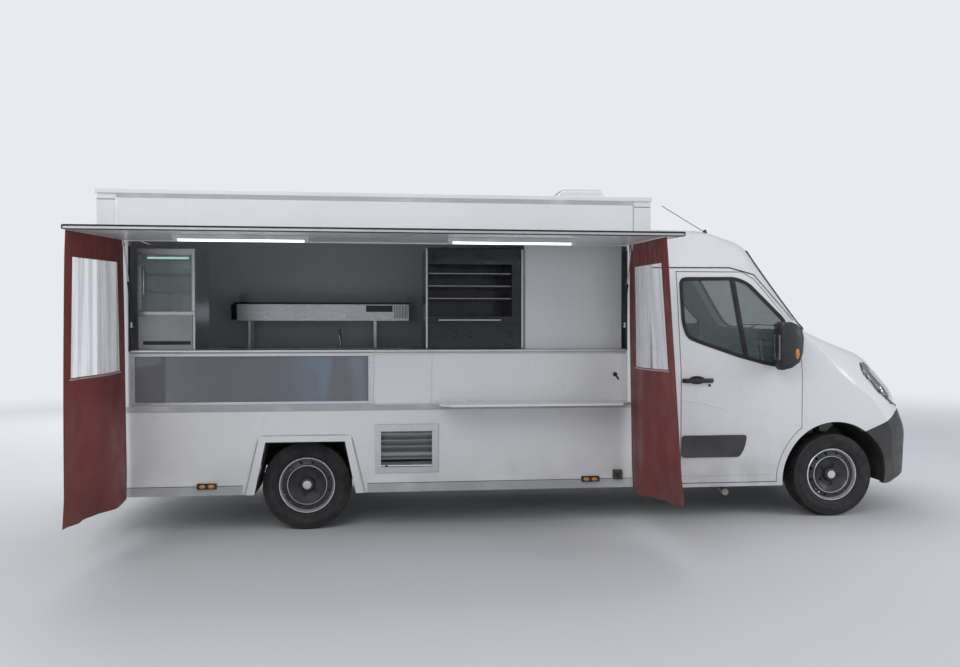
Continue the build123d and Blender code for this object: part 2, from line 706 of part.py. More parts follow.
def bonnet_zone(gap):
    """The bonnet's space: its plan, ended in front by a cylinder about its hinge."""
    swing = rod_y(BONNET_HINGE_X, BONNET_HINGE_Z, BONNET_FRONT_R - gap, -900, 900)
    return bonnet_prism(gap, 1000) & swing


def bonnet_prism(gap, z0):
    """Plan of the bonnet pulled up from z0; gap moves its edges in."""
    rear_x, rear_y, rear_mid = BONNET_ARCS["rear"]
    side_x, side_y = BONNET_ARCS["side"]
    front_x, front_y, front_mid = BONNET_ARCS["front"]
    a = (rear_x + gap, rear_y - gap)
    b = (front_x - gap * 0.7, front_y - gap * 0.7)
    rear = ThreePointArc((a[0], -a[1]), (rear_mid + gap, 0), (a[0], a[1]))
    left = ThreePointArc((a[0], a[1]), (side_x, side_y - gap), b)
    nose = ThreePointArc(b, (front_mid - gap, 0), (b[0], -b[1]))
    right = ThreePointArc((b[0], -b[1]), (side_x, -side_y + gap), (a[0], -a[1]))
    face = make_face(Wire([*rear.edges(), *left.edges(), *nose.edges(), *right.edges()]))
    return Location((0, 0, z0)) * extrude(face, amount=900, dir=(0, 0, 1))


def screen_prism(gap):
    """Front view of the windscreen opening, pulled along the cab."""
    outline = SCREEN + [(-y, z) for y, z in reversed(SCREEN[1:-1])]
    return front_prism(inset_outline(outline, gap), 1300, 2400)


def skin(prism, depth):
    """The outer layer of the cab, depth thick, inside a prism."""
    return (cab_form() & prism) - (cab_form(depth) & prism)


def cab_body():
    """Cab shell: cabin, engine bay, arches, door openings and the lamp, grille and screen holes."""
    bay_x0, bay_x1, bay_half, bay_top = BAY
    cabin = cab_form(CAB_WALL) & side_prism(CABIN, -WIDE, WIDE)
    bay = block(bay_x0, bay_x1, -bay_half, bay_half, BELOW, bay_top)
    upper = block(*BAY_UPPER[:2], -bay_half, bay_half, *BAY_UPPER[2:])
    upper = upper + (cab_form(BONNET_T + SEAT_GAP) & bonnet_prism(BAY_LIP, TOWER_Z))
    floor_x, floor_half = UNDERFLOOR
    tunnel_x, tunnel_half = FRONT_TUNNEL
    under = block(CAB_REAR_X - 50, floor_x, -floor_half, floor_half, BELOW, CAB_TUNNEL_Z)
    under = under + block(floor_x - 20, tunnel_x, -tunnel_half, tunnel_half, BELOW, CAB_TUNNEL_Z)
    nose = cab_form(CAB_WALL) & block(NOSE_HOLLOW[0], 3050, -1050, 1050, BELOW, NOSE_HOLLOW[1])
    body = cab_form() - cabin - bay - upper - under - nose
    body = body - skin(bonnet_zone(0), BONNET_T + SEAT_GAP)

    tower = rod_between(king_point(KING_TOP_Z - TOWER_L), king_point(KING_TOP_Z + SEAT_GAP), TOWER_R)
    pocket = skin(door_prism(0), DOOR_T + SEAT_GAP)
    lead_x0, lead_x1, lead_z0, lead_z1 = DOOR_LEAD
    lead = skin(door_prism(0) & block(lead_x0, lead_x1, 600, WIDE, lead_z0, lead_z1), DOOR_T + DOOR_LEAD_GAP)
    lamp_zone = side_prism(LAMP_SIDE, LAMP_IN_Y, WIDE)
    for cut in (front_arch(), tower, pocket, lead, door_prism(DOOR_FLANGE), lamp_zone):
        body = body - cut - mirrored(cut)
    return body - screen_prism(0) - front_prism(GRILLE, 2650, 3100) - side_prism(BUMPER_SIDE, -WIDE, WIDE)


def front_arch():
    """Left front wheel arch as a solid to cut away."""
    return rod_y(FRONT_AXLE_X, TYRE_R, FRONT_ARCH_R, FRONT_ARCH_IN_Y, WIDE)


def bumper_parts():
    """Front bumper open at its foot, and the slatted grille above it."""
    arch = front_arch()
    bumper = skin(side_prism(BUMPER_SIDE, -WIDE, WIDE), CAB_WALL)
    bumper = bumper - arch - mirrored(arch) - block(2700, 3100, *AIR_INLET)
    bumper = bumper - block(2200, BUMPER_CENTRE_X, -FRONT_ARCH_IN_Y, FRONT_ARCH_IN_Y, 200, 800)
    grille = skin(front_prism(inset_outline(GRILLE, SEAT_GAP), 2650, 3100), CAB_WALL)
    step = (GRILLE[2][1] - GRILLE[0][1]) / (GRILLE_SLATS + 1)
    for k in range(GRILLE_SLATS + 1):
        z0 = GRILLE[0][1] + k * step + GRILLE_SLAT_H / 2
        grille = grille - block(2500, 3100, -500, 500, z0, z0 + step - GRILLE_SLAT_H)
    return Compound(children=[bumper, grille])


def cab_parts():
    """Cab body, bonnet, bumper, grille, lamps, screen and the two doors, all cut from one form."""
    parts = {"cab_body": cab_body(), "front_bumper": bumper_parts()}
    hole = side_prism(WINDOW, 600, WIDE)
    bar = side_prism(WINDOW_BAR, 600, WIDE)
    door = skin(door_prism(DOOR_GAP), DOOR_T)
    door = door - (hole - bar)
    pane = side_prism(inset_outline(WINDOW, SEAT_GAP), 600, WIDE)
    pane = pane - side_prism(inset_outline(WINDOW_BAR, -SEAT_GAP), 600, WIDE)
    door_glass = (cab_form(GLASS_DEEP) & pane) - (cab_form(GLASS_DEEP + GLASS_T) & pane)
    for name, turn in (("left", lambda piece: piece), ("right", mirrored)):
        parts[f"door_{name}"] = turn(door)
        parts[f"door_glass_{name}"] = turn(door_glass)

    lamp = skin(side_prism(inset_outline(LAMP_SIDE, SEAT_GAP), LAMP_IN_Y + SEAT_GAP, WIDE), CAB_WALL)
    lamp = lamp - bonnet_zone(-SEAT_GAP)
    parts["headlamps"] = Compound(children=[lamp, mirrored(lamp)])
    parts["bonnet"] = skin(bonnet_zone(BONNET_GAP), BONNET_T)
    parts["windscreen"] = (screen_prism(SEAT_GAP) & cab_form(GLASS_DEEP)) - cab_form(GLASS_DEEP + GLASS_T)
    return parts


# Box

def arch_outline(grow):
    """Hexagonal rear arch opening in X and Z, moved out by grow."""
    x, foot_z, top_z = REAR_AXLE_X, SKIRT_Z - ARCH_FOOT_DROP, ARCH_TOP_Z + grow
    top, foot = ARCH_HALF_TOP + grow, ARCH_HALF_FOOT + grow * 1.25
    return [(x - foot, foot_z), (x - top, top_z), (x + top, top_z), (x + foot, foot_z)]


def side_wall(top_z):
    """Closed side wall of the box on the left, with its wheel arch."""
    out = BOX_HALF_W
    wall = block(BOX_REAR_X, BOX_FRONT_X, out - WALL_T, out, SKIRT_Z, top_z)
    trim = side_prism(arch_outline(ARCH_TRIM), out - WALL_T, out + ARCH_TRIM_PROUD)
    wall = wall + (trim & block(BOX_REAR_X, BOX_FRONT_X, 0, 2000, SKIRT_Z, BOX_TOP_Z))
    return wall - side_prism(arch_outline(0), out - 100, out + 100)


def housing_span(gap):
    """Lengthwise span of the rear wheel housings, widened by gap."""
    half = ARCH_HALF_FOOT + ARCH_TRIM + gap
    return REAR_AXLE_X - half, REAR_AXLE_X + half


def box_floor():
    """Floor with a wheel housing on each side."""
    inner = BOX_HALF_W - WALL_T
    floor_z0 = FLOOR_TOP_Z - FLOOR_T
    floor = block(BOX_REAR_X + WALL_T, BOX_FRONT_X - WALL_T, -inner, inner, floor_z0, FLOOR_TOP_Z)
    out_span = housing_span(0)
    in_span = housing_span(-HOUSING_T)
    for side in (1, -1):
        lo, hi = sorted((side * HOUSING_IN_Y, side * inner))
        floor = floor + block(*out_span, lo, hi, floor_z0, HOUSING_TOP_Z)
        lo, hi = sorted((side * (HOUSING_IN_Y + HOUSING_T), side * (inner + 10)))
        floor = floor - block(*in_span, lo, hi, 0, HOUSING_TOP_Z - HOUSING_T)
    return floor


def box_walls():
    """Closed left wall, lower right wall, and the rear and front walls."""
    out, inner = BOX_HALF_W, BOX_HALF_W - WALL_T
    x0, x1 = BOX_REAR_X, BOX_FRONT_X
    under_roof = BOX_TOP_Z - ROOF_T
    left = side_wall(under_roof)
    right = mirrored(side_wall(BEAD_Z - BEAD_H))
    right = right - block(*LOUVRE_HOLE[:2], -out - 50, -inner + 10, *LOUVRE_HOLE[2:])
    right = right - block(x0 - 10, x0 + POST_W, -out - 50, -inner + 10, 0, BEAD_Z + 10)
    right = right - block(x1 - POST_W, x1 + 10, -out - 50, -inner + 10, 0, BEAD_Z + 10)

    rear = block(x0, x0 + WALL_T, -inner, inner, REAR_WALL_Z, under_roof)
    rear = rear - block(x0 - 10, x0 + WALL_T + 10, *REAR_DOOR_Y, FLOOR_TOP_Z, REAR_DOOR_TOP_Z)
    front = block(x1 - WALL_T, x1, -inner, inner, FLOOR_TOP_Z - FLOOR_T, under_roof)
    leaf_t, leaf_w, leaf_h = REAR_LEAF
    leaf_y = rear_hinge_y() + REAR_HINGE_R + SEAT_GAP
    for z in REAR_DOOR_HINGE_ZS:
        rear = rear + block(x0 - leaf_t, x0 + 1, leaf_y, leaf_y + leaf_w, z - leaf_h / 2, z + leaf_h / 2)
    return Compound(children=[left, right, rear, front])


def rear_hinge_y():
    return REAR_DOOR_Y[1] - DOOR_GAP / 2


def hatch_frame():
    """Posts, sill bead, header and fascia round the serving hatch, with the flap's fixed hinge."""
    out, inner = BOX_HALF_W, BOX_HALF_W - WALL_T
    proud = out + FASCIA_PROUD
    x0, x1 = BOX_REAR_X, BOX_FRONT_X
    under_roof = BOX_TOP_Z - ROOF_T
    frame = block(x0 + POST_W, x1 - POST_W, -out, -inner, BEAD_Z - BEAD_H, under_roof)
    frame = frame - block(HATCH_REAR_X, HATCH_FRONT_X, -out - 50, -inner + 50, BEAD_Z, HEADER_Z)
    frame = frame + block(x0 + POST_W, x1 - POST_W, -out - BEAD_PROUD, -out, BEAD_Z - BEAD_H, BEAD_Z)
    frame = frame + block(x0 + POST_W, x1 - POST_W, -proud, -out, FASCIA_Z, under_roof)
    for px0, px1 in ((x0, x0 + POST_W), (x1 - POST_W, x1)):
        frame = frame + block(px0, px1, -proud, -inner, SKIRT_Z, under_roof)
    frame = frame + rod_x(HINGE_Y, HINGE_Z, HINGE_R, FLAP_REAR_X, FLAP_FRONT_X)
    frame = frame + block(FLAP_REAR_X, FLAP_FRONT_X, HINGE_Y, -out, HINGE_Z, HINGE_Z + FLAP_RAIL_H)
    out_y, in_y, half_z = GAS_FOOT_LUG
    for x, wall in zip(GAS_XS, (HATCH_REAR_X, HATCH_FRONT_X)):
        lo, hi = sorted((x + math.copysign(GAS_EYE_T / 2 + SEAT_GAP, wall - x), wall))
        frame = frame + block(lo, hi, GAS_FOOT_Y - out_y, GAS_FOOT_Y + in_y,
                              GAS_FOOT_Z - half_z, GAS_FOOT_Z + half_z)
    return frame


def rear_door():
    """Rear door with its three hinge barrels, leaves and pull handle."""
    x0, hinge_y = BOX_REAR_X, rear_hinge_y()
    leaf_t, leaf_w, leaf_h = REAR_LEAF
    door = block(x0, x0 + WALL_T, REAR_DOOR_Y[0] + DOOR_GAP, REAR_DOOR_Y[1] - DOOR_GAP,
                 FLOOR_TOP_Z + DOOR_GAP, REAR_DOOR_TOP_Z - DOOR_GAP)
    for z in REAR_DOOR_HINGE_ZS:
        door = door + Location((x0 - REAR_HINGE_R, hinge_y, z)) * Cylinder(REAR_HINGE_R, REAR_HINGE_L)
        door = door + block(x0 - leaf_t, x0, hinge_y - leaf_w - 10, hinge_y, z - leaf_h / 2, z + leaf_h / 2)
    near, far, z0, z1, proud = REAR_HANDLE
    return door + block(x0 - proud, x0, REAR_DOOR_Y[0] + near, REAR_DOOR_Y[0] + far, z0, z1)


def box_parts():
    """Floor, walls, roof, the frame round the serving hatch and the rear door."""
    out = BOX_HALF_W
    x0, x1, proud = BOX_REAR_X, BOX_FRONT_X, FASCIA_PROUD
    roof = block(x0, x1, -out, out, BOX_TOP_Z - ROOF_T, BOX_TOP_Z)
    roof = roof + block(x0 - proud, x1 + proud, -out - proud, out + proud,
                        BOX_TOP_Z - FASCIA_TRIM_H, BOX_TOP_Z)
    roof = fillet(roof.faces().sort_by(Axis.Z)[-1].edges(), ROOF_CORNER)
    return {"box_floor": box_floor(), "box_walls": box_walls(), "box_roof": roof,
            "hatch_frame": hatch_frame(), "rear_door": rear_door()}


def flap_parts():
    """Serving flap with its lamps and side curtains, and the two gas struts."""
    droop = Location((0, HINGE_Y, HINGE_Z)) * Rotation(FLAP_DROOP, 0, 0)
    under, over = FLAP_PANEL_IN
    inner_y = -HINGE_R - SEAT_GAP
    border = block(FLAP_REAR_X, FLAP_FRONT_X, -FLAP_REACH, inner_y, 0, FLAP_T)
    inside = (FLAP_REAR_X + FLAP_EDGE, FLAP_FRONT_X - FLAP_EDGE, -FLAP_REACH + FLAP_EDGE, inner_y - FLAP_EDGE)
    flap = border - block(*inside, -10, FLAP_T + 10) + block(*inside, under, FLAP_T - over)
    lug_half, lug_t, lug_low = GAS_LUG
    for x, wall in zip(GAS_XS, (FLAP_REAR_X, FLAP_FRONT_X)):
        lo = x + math.copysign(GAS_EYE_T / 2 + SEAT_GAP, wall - x)
        lo, hi = sorted((lo, lo + math.copysign(lug_t, wall - x)))
        flap = flap + block(lo, hi, -GAS_PIN_REACH - lug_half, -GAS_PIN_REACH + lug_half,
                            -GAS_PIN_DROP - lug_low, under + 1)
    lamps = []
    for x in LAMP_XS:
        body = block(x - LAMP_L / 2, x + LAMP_L / 2, -LAMP_REACH - LAMP_W / 2, -LAMP_REACH + LAMP_W / 2,
                     under - SEAT_GAP - LAMP_H, under - SEAT_GAP)
        lamps.append(droop * body)
    tubes, rods = gas_struts(droop)
    return {"flap": droop * flap, "flap_lamps": Compound(children=lamps), "curtains": side_curtains(),
            "strut_tubes": Compound(children=tubes), "strut_rods": Compound(children=rods)}


def side_curtains():
    """The two hanging side curtains as thin flat sheets."""
    slope = math.tan(math.radians(FLAP_DROOP))
    edge_y = HINGE_Y - FLAP_REACH * math.cos(math.radians(FLAP_DROOP)) + CURTAIN_INSET
    sheets = []
    for x in (FLAP_REAR_X + CURTAIN_INSET, FLAP_FRONT_X - CURTAIN_INSET):
        top = [(y, HINGE_Z - (HINGE_Y - y) * slope - SEAT_GAP) for y in (CURTAIN_IN_Y, edge_y)]
        outline = [(CURTAIN_IN_Y, CURTAIN_HEM_Z), *top, (edge_y, CURTAIN_HEM_Z)]
        sheets.append(front_prism(outline, x - CURTAIN_T / 2, x + CURTAIN_T / 2))
    return Compound(children=sheets)


def gas_struts(droop):
    """Tubes and rods of the flap's gas struts, from their feet to the pins under the flap."""
    pin = droop * Location((0, -GAS_PIN_REACH, -GAS_PIN_DROP))
    pin_y, pin_z = pin.position.Y, pin.position.Z
    span = math.hypot(pin_y - GAS_FOOT_Y, pin_z - GAS_FOOT_Z)
    lean = math.atan2(GAS_FOOT_Y - pin_y, pin_z - GAS_FOOT_Z)
    tubes, rods = [], []
    for x in GAS_XS:
        def along(length):
            return (x, GAS_FOOT_Y - length * math.sin(lean), GAS_FOOT_Z + length * math.cos(lean))
        tube = rod_between(along(0), along(GAS_NECK), GAS_ROD_R - 0.5)
        tube = tube + rod_between(along(GAS_NECK), along(GAS_TUBE_L), GAS_TUBE_R)
        bore = rod_between(along(GAS_BORE_FROM), along(GAS_TUBE_L + 5), GAS_ROD_R + 0.5)
        eye = rod_x(GAS_FOOT_Y, GAS_FOOT_Z, GAS_EYE_R, x - GAS_EYE_T / 2, x + GAS_EYE_T / 2)
        tubes.append(tube - bore + eye)
        rod = rod_between(along(GAS_TUBE_L - GAS_ROD_IN), along(span), GAS_ROD_R)
        rods.append(rod + rod_x(pin_y, pin_z, GAS_EYE_R, x - GAS_EYE_T / 2, x + GAS_EYE_T / 2))
    return tubes, rods


def counter_front():
    """Front panel with the display window, the latch and the shelf's hinge strip, and the inner panel."""
    out, back = PANEL_Y, PANEL_Y + PANEL_T
    x0, x1 = HATCH_REAR_X + SEAT_GAP, HATCH_FRONT_X - SEAT_GAP
    low = BEAD_Z + SEAT_GAP
    seam_w, seam_deep = PANEL_SEAM
    front = block(x0, x1, out, back, low, PANEL_TOP_Z)
    front = front - block(GLASS_REAR_X + FRAME_W, GLASS_FRONT_X - FRAME_W, out - 10, back + 10,
                          low + FRAME_W, PANEL_TOP_Z - FRAME_W)
    front = front - block(PANEL_SPLIT_X - seam_w / 2, PANEL_SPLIT_X + seam_w / 2, out - 1, out + seam_deep,
                          low, PANEL_TOP_Z)
    latch_x, latch_z = LATCH
    lever_half, lever_low, lever_high = LATCH_LEVER
    front = front + rod_y(latch_x, latch_z, LATCH_R, out - LATCH_PROUD / 2, out)
    front = front + block(latch_x - lever_half, latch_x + lever_half, out - LATCH_PROUD,
                          out - LATCH_PROUD / 2, latch_z - lever_low, latch_z + lever_high)
    front = front + block(SHELF_REAR_X, SHELF_FRONT_X, SHELF_HINGE_Y + SEAT_GAP, out,
                          SHELF_TOP_Z - SHELF_T + SEAT_GAP, SHELF_TOP_Z)
    inner = block(HATCH_FRONT_X - INNER_PANEL_L, x1, INNER_PANEL_Y, INNER_PANEL_Y + INNER_PANEL_T,
                  WORKTOP_Z + SEAT_GAP, HEADER_Z + 40)
    return Compound(children=[front, inner])


def worktop():
    """Worktop in three lengths, jointed beside the fridge and the oven."""
    ends = [HATCH_REAR_X + SEAT_GAP, FRIDGE[1] + WORKTOP_JOINT, OVEN[0] - WORKTOP_JOINT, HATCH_FRONT_X]
    lengths = []
    for x0, x1 in zip(ends, ends[1:]):
        top = block(x0, x1 - SEAT_GAP, WORKTOP_OUT_Y, WORKTOP_IN_Y, PANEL_TOP_Z + SEAT_GAP, WORKTOP_Z)
        lengths.append(fillet(top.edges().filter_by(Axis.X).group_by(Axis.Y)[0], WORKTOP_NOSE_R))
    return Compound(children=lengths)


def serving_shelf():
    """Folding shelf with two cut corners, at its hinge."""
    near, far = SHELF_CORNER - SHELF_REACH, -SHELF_REACH
    shelf = plan_prism([(SHELF_REAR_X, 0), (SHELF_FRONT_X, 0), (SHELF_FRONT_X, near),
                        (SHELF_FRONT_X - SHELF_CORNER, far), (SHELF_REAR_X + SHELF_CORNER, far),
                        (SHELF_REAR_X, near)], -SHELF_T, 0)
    return Location((0, SHELF_HINGE_Y, SHELF_TOP_Z)) * shelf


def counter_units():
    """Display case, cupboard under the worktop and the counter along the left wall."""
    x0, x1 = HATCH_REAR_X + SEAT_GAP, HATCH_FRONT_X - SEAT_GAP
    low = BEAD_Z + SEAT_GAP
    foot = FLOOR_TOP_Z + SEAT_GAP
    y0, y1 = PANEL_Y + PANEL_T + SEAT_GAP, WORKTOP_IN_Y - UNIT_T
    split = GLASS_FRONT_X
    display = block(x0 + 5, split, y0, y1, foot, PANEL_TOP_Z)
    display = display - block(x0 + 5 + UNIT_T, split - UNIT_T, y0 - 10, y1 + 10, low + FRAME_W,
                              PANEL_TOP_Z - UNIT_TOP_T)
    cabinet = block(split + 5, x1 - 5, y0, y1, foot, PANEL_TOP_Z)
    cabinet = cabinet - block(split + 5 + UNIT_T, x1 - 5 - UNIT_T, y0 + UNIT_T, y1 + 10,
                              foot + CABINET_PLINTH, PANEL_TOP_Z - UNIT_T)
    bx0, bx1, by0, by1 = BACK_COUNTER
    rear_unit = block(bx0, bx1, by0, by1, foot, BACK_COUNTER_Z)
    rear_unit = rear_unit - block(bx0 + UNIT_T, bx1 - UNIT_T, by0 - 10, by1 - UNIT_T,
                                  foot + REAR_UNIT_PLINTH, BACK_COUNTER_Z - REAR_UNIT_TOP_T)
    housing = block(*housing_span(SEAT_GAP), HOUSING_IN_Y - SEAT_GAP, BOX_HALF_W, 0, HOUSING_TOP_Z + SEAT_GAP)
    return Compound(children=[display - mirrored(housing), cabinet - mirrored(housing), rear_unit - housing])


def fridge():
    """Drinks fridge, open in front, with two shelves."""
    side, back, foot, head = FRIDGE_WALL
    x0, x1, y0, y1 = FRIDGE
    body = block(x0, x1, y0, y1, WORKTOP_Z + SEAT_GAP, FRIDGE_TOP_Z)
    body = body - block(x0 + side, x1 - side, y0 - 1, y1 - back, WORKTOP_Z + foot, FRIDGE_TOP_Z - head)
    for rise in FRIDGE_SHELVES:
        z = WORKTOP_Z + rise
        body = body + block(x0 + side, x1 - side, y0 + back, y1 - back, z, z + FRIDGE_SHELF_T)
    return body


def oven():
    """Oven, open in front, with its racks."""
    rear_side, panel_side, back, foot, head = OVEN_WALL
    x0, x1, y0, y1 = OVEN
    body = block(x0, x1, y0, y1, WORKTOP_Z + SEAT_GAP, OVEN_TOP_Z)
    body = body - block(x0 + rear_side, x1 - panel_side, y0 - 1, y1 - back,
                        WORKTOP_Z + foot, OVEN_TOP_Z - head)
    for z in OVEN_RACK_ZS:
        body = body + block(x0 + rear_side, x1 - panel_side, y0 + back / 2, y1 - back, z, z + RACK_T)
    return body


def topping_chiller():
    """Refrigerated topping well on four legs."""
    x0, x1, y0, y1 = CHILLER
    half, inset, width = CHILLER_LEG
    body = block(x0, x1, y0, y1, *CHILLER_Z)
    for x in CHILLER_LEG_XS:
        for lo, hi in ((y0 + inset, y0 + inset + width), (y1 - inset - width, y1 - inset)):
            body = body + block(x - half, x + half, lo, hi, BACK_COUNTER_Z + SEAT_GAP, CHILLER_Z[0])
    return body


def counter_parts():
    """Counter, display glass, worktop, folding shelf, units and the equipment on them."""
    pane_y = PANEL_Y + GLASS_IN
    edge = FRAME_W + SEAT_GAP
    pane = block(GLASS_REAR_X + edge, GLASS_FRONT_X - edge, pane_y, pane_y + GLASS_T,
                 BEAD_Z + SEAT_GAP + edge, PANEL_TOP_Z - edge)
    return {"counter_front": counter_front(), "display_glass": pane, "worktop": worktop(),
            "serving_shelf": serving_shelf(), "counter_units": counter_units(), "fridge": fridge(),
            "oven": oven(), "topping_chiller": topping_chiller()}


def louvre():
    """Louvre in the right wall: a rim, a frame through the wall and slanted slats."""
    x0, x1, z0, z1 = LOUVRE_HOLE
    y0, y1 = -BOX_HALF_W - LOUVRE_PROUD, -BOX_HALF_W + WALL_T
    rim = block(x0 - LOUVRE_RIM, x1 + LOUVRE_RIM, y0, -BOX_HALF_W - SEAT_GAP,
                z0 - LOUVRE_RIM, z1 + LOUVRE_RIM)
    rim = rim + block(x0 + SEAT_GAP, x1 - SEAT_GAP, y0, y1, z0 + SEAT_GAP, z1 - SEAT_GAP)
    rim = rim - block(x0 + LOUVRE_EDGE, x1 - LOUVRE_EDGE, y0 - 10, y1 + 10,
                      z0 + LOUVRE_EDGE, z1 - LOUVRE_EDGE)
    width, thick, tilt = SLAT
    slat = Rotation(tilt, 0, 0) * Box(x1 - x0 - 1.5 * LOUVRE_EDGE, width, thick)
    pitch = (z1 - z0 - 2 * LOUVRE_EDGE) / LOUVRE_SLATS
    for k in range(LOUVRE_SLATS):
        rim = rim + Location(((x0 + x1) / 2, y0 + 16, z0 + LOUVRE_EDGE + pitch * (k + 0.5))) * slat
    return rim


def power_inlet():
    """Square socket housing with its round bore."""
    x, z = INLET
    face = -BOX_HALF_W - SEAT_GAP
    body = block(x - INLET_HALF, x + INLET_HALF, face - INLET_H, face, z - INLET_HALF, z + INLET_HALF)
    body = fillet(body.edges().filter_by(Axis.Y), INLET_CORNER)
    return body - rod_y(x, z, INLET_R, face - INLET_H - 6, face - INLET_H + INLET_DEEP)


def roof_vent():
    """Roof vent: a square base under a rounded lid."""
    x0, x1 = VENT_X
    half, lip, mid_z = VENT_HALF_W, VENT_LIP, BOX_TOP_Z + VENT_BASE_H
    base = block(x0, x1, -half, half, BOX_TOP_Z + SEAT_GAP, mid_z)
    lid = block(x0 - lip, x1 + lip, -half - lip, half + lip, mid_z, BOX_TOP_Z + VENT_H)
    return base + fillet(lid.edges().filter_by(Axis.Z) + lid.faces().sort_by(Axis.Z)[-1].edges(), VENT_CORNER)


def marker_lamps():
    """Side marker lamps on both sides and the rear lamp towers."""
    lamps = []
    half_x, half_z, proud = SIDE_LAMP
    for x in SIDE_LAMP_XS:
        for side in (-1, 1):
            lo, hi = sorted((side * (BOX_HALF_W + SEAT_GAP), side * (BOX_HALF_W + proud)))
            lamps.append(block(x - half_x, x + half_x, lo, hi, SIDE_LAMP_Z - half_z, SIDE_LAMP_Z + half_z))
    in_y, out_y, z0, z1, proud = REAR_LAMP
    for side in (1, -1):
        lo, hi = sorted((side * in_y, side * out_y))
        lamps.append(block(BOX_REAR_X - proud, BOX_REAR_X - SEAT_GAP, lo, hi, z0, z1))
    return Compound(children=lamps)


def rear_bumper():
    """Rear beam on two brackets, with the step and the blank plate."""
    far, near, half, z0, z1 = REAR_BAR
    bar = block(BOX_REAR_X - far, BOX_REAR_X - near, -half, half, z0, z1)
    back, half_y, low, high = REAR_BRACKET
    for side in (1, -1):
        lo, hi = sorted((side * (RAIL_Y - half_y), side * (RAIL_Y + half_y)))
        bar = bar + block(BOX_REAR_X - back, RAIL_REAR_X - SEAT_GAP, lo, hi, low, high)
    step_far, step_y0, step_y1, step_t = REAR_STEP
    bar = bar + block(BOX_REAR_X - step_far, BOX_REAR_X - near, step_y0, step_y1, z1, z1 + step_t)
    plate_far, plate_y0, plate_y1, plate_z0, plate_z1 = REAR_PLATE
    return bar + block(BOX_REAR_X - plate_far, BOX_REAR_X - far, plate_y0, plate_y1, plate_z0, plate_z1)


def fitting_parts():
    """Louvre, power inlet, roof vent, aerial, lamps and the rear beam."""
    ax, ay, az = AERIAL_FOOT
    base = Location((ax, ay, az)) * Cone(*AERIAL_BASE, align=(Align.CENTER, Align.CENTER, Align.MIN))
    mast = rod_between((ax, ay, az + 14), AERIAL_TIP, AERIAL_R)
    return {"louvre": louvre(), "power_inlet": power_inlet(), "roof_vent": roof_vent(),
            "aerial": (base + mast) - cab_form(-SEAT_GAP), "marker_lamps": marker_lamps(),
            "rear_bumper": rear_bumper()}


def fuel_tank():
    """Tank between the rails, hung under two cross members."""
    x0, x1, half, low = TANK
    top = RAIL_TOP_Z - CROSS_DROP - CROSS_H - SEAT_GAP
    tank = block(x0, x1, -half, half, low, top)
    return fillet(tank.edges().filter_by(Axis.X), TANK_CORNER)


def running_parts():
    """Chassis, tank, axle, knuckles and the engine block."""
    left = knuckle()
    engine_z0 = FRONT_RAIL_Z + FRONT_RAIL_H + SEAT_GAP
    engine = block(*ENGINE_X, -ENGINE_HALF_W, ENGINE_HALF_W, engine_z0, ENGINE_TOP_Z)
    return {"chassis_frame": chassis_frame(), "rear_axle": Compound(children=[rear_axle(), *rear_springs()]),
            "fuel_tank": fuel_tank(), "knuckle_left": left, "knuckle_right": mirrored(left),
            "engine_block": engine}


def seat(y, width):
    """A seat of one or two places: a box foot, a shaped cushion and back, and its headrests."""
    foot_x0, foot_x1, foot_top, foot_in = SEAT_FOOT
    y0, y1 = y - width / 2, y + width / 2
    base = block(foot_x0, foot_x1, y0 + foot_in, y1 - foot_in, CAB_FLOOR_Z + SEAT_GAP, foot_top + 5)
    cushion = side_prism(SEAT_CUSHION, y0, y1)
    back = side_prism(SEAT_BACK, y0, y1)
    seat_solid = base + cushion + back
    places = round(width / SEAT_PLACE_W)
    post_r, post_y, post_x = SEAT_POST
    for k in range(places):
        mid = y0 + width * (k + 0.5) / places
        seat_solid = seat_solid + side_prism(SEAT_HEAD, mid - SEAT_HEAD_HALF, mid + SEAT_HEAD_HALF)
        for side in (-1, 1):
            seat_solid = seat_solid + rod_between((post_x, mid + side * post_y, SEAT_BACK[5][1] - 40),
                                                  (post_x, mid + side * post_y, SEAT_HEAD[0][1] + 20), post_r)
    return seat_solid


def interior_parts():
    """Seats, dashboard and steering wheel, seen through the glass."""
    seats = Compound(children=[seat(y, width) for y, width in SEATS])
    dash = side_prism(DASH, -DASH_HALF_W, DASH_HALF_W)
    dash = dash & side_prism(inset_outline(CABIN, SEAT_GAP), -900, 900) & cab_form(CAB_WALL + SEAT_GAP)
    tilt = Location(STEERING_CENTRE) * Rotation(0, -STEERING_TILT, 0)
    spoke_w, spoke_t = STEERING_SPOKE
    ring_r = STEERING_R - STEERING_RIM_R
    spokes = Box(spoke_w, 2 * ring_r, spoke_t) + Location((-ring_r / 2, 0, 0)) * Box(ring_r, spoke_w, spoke_t)
    wheel = tilt * (Torus(ring_r, STEERING_RIM_R) + Cylinder(*STEERING_HUB) + spokes)
    radius, length, drop = COLUMN
    column = tilt * Location((0, 0, -drop - SEAT_GAP)) * Cylinder(radius, length)
    return {"seats": seats, "dashboard": dash + column, "steering_wheel": wheel}


def door_trim():
    """Left mirror, door handle and side moulding, standing on the door's outer face."""
    mirror = block(*MIRROR_X, *MIRROR_Y, *MIRROR_Z)
    mirror = fillet(mirror.edges().filter_by(Axis.Y), MIRROR_CORNER)
    mirror = fillet(mirror.faces().sort_by(Axis.Y)[-1].edges(), MIRROR_BACK_R)
    arm = plan_prism(MIRROR_ARM, *MIRROR_ARM_Z)
    handle = block(*HANDLE)
    handle = fillet(handle.edges().filter_by(Axis.Y), HANDLE_CORNER)
    moulding = side_prism(MOULDING, *MOULDING_Y)
    inside = cab_form(-SEAT_GAP)
    return Compound(children=[(mirror + arm) - inside, handle - inside, moulding - inside])


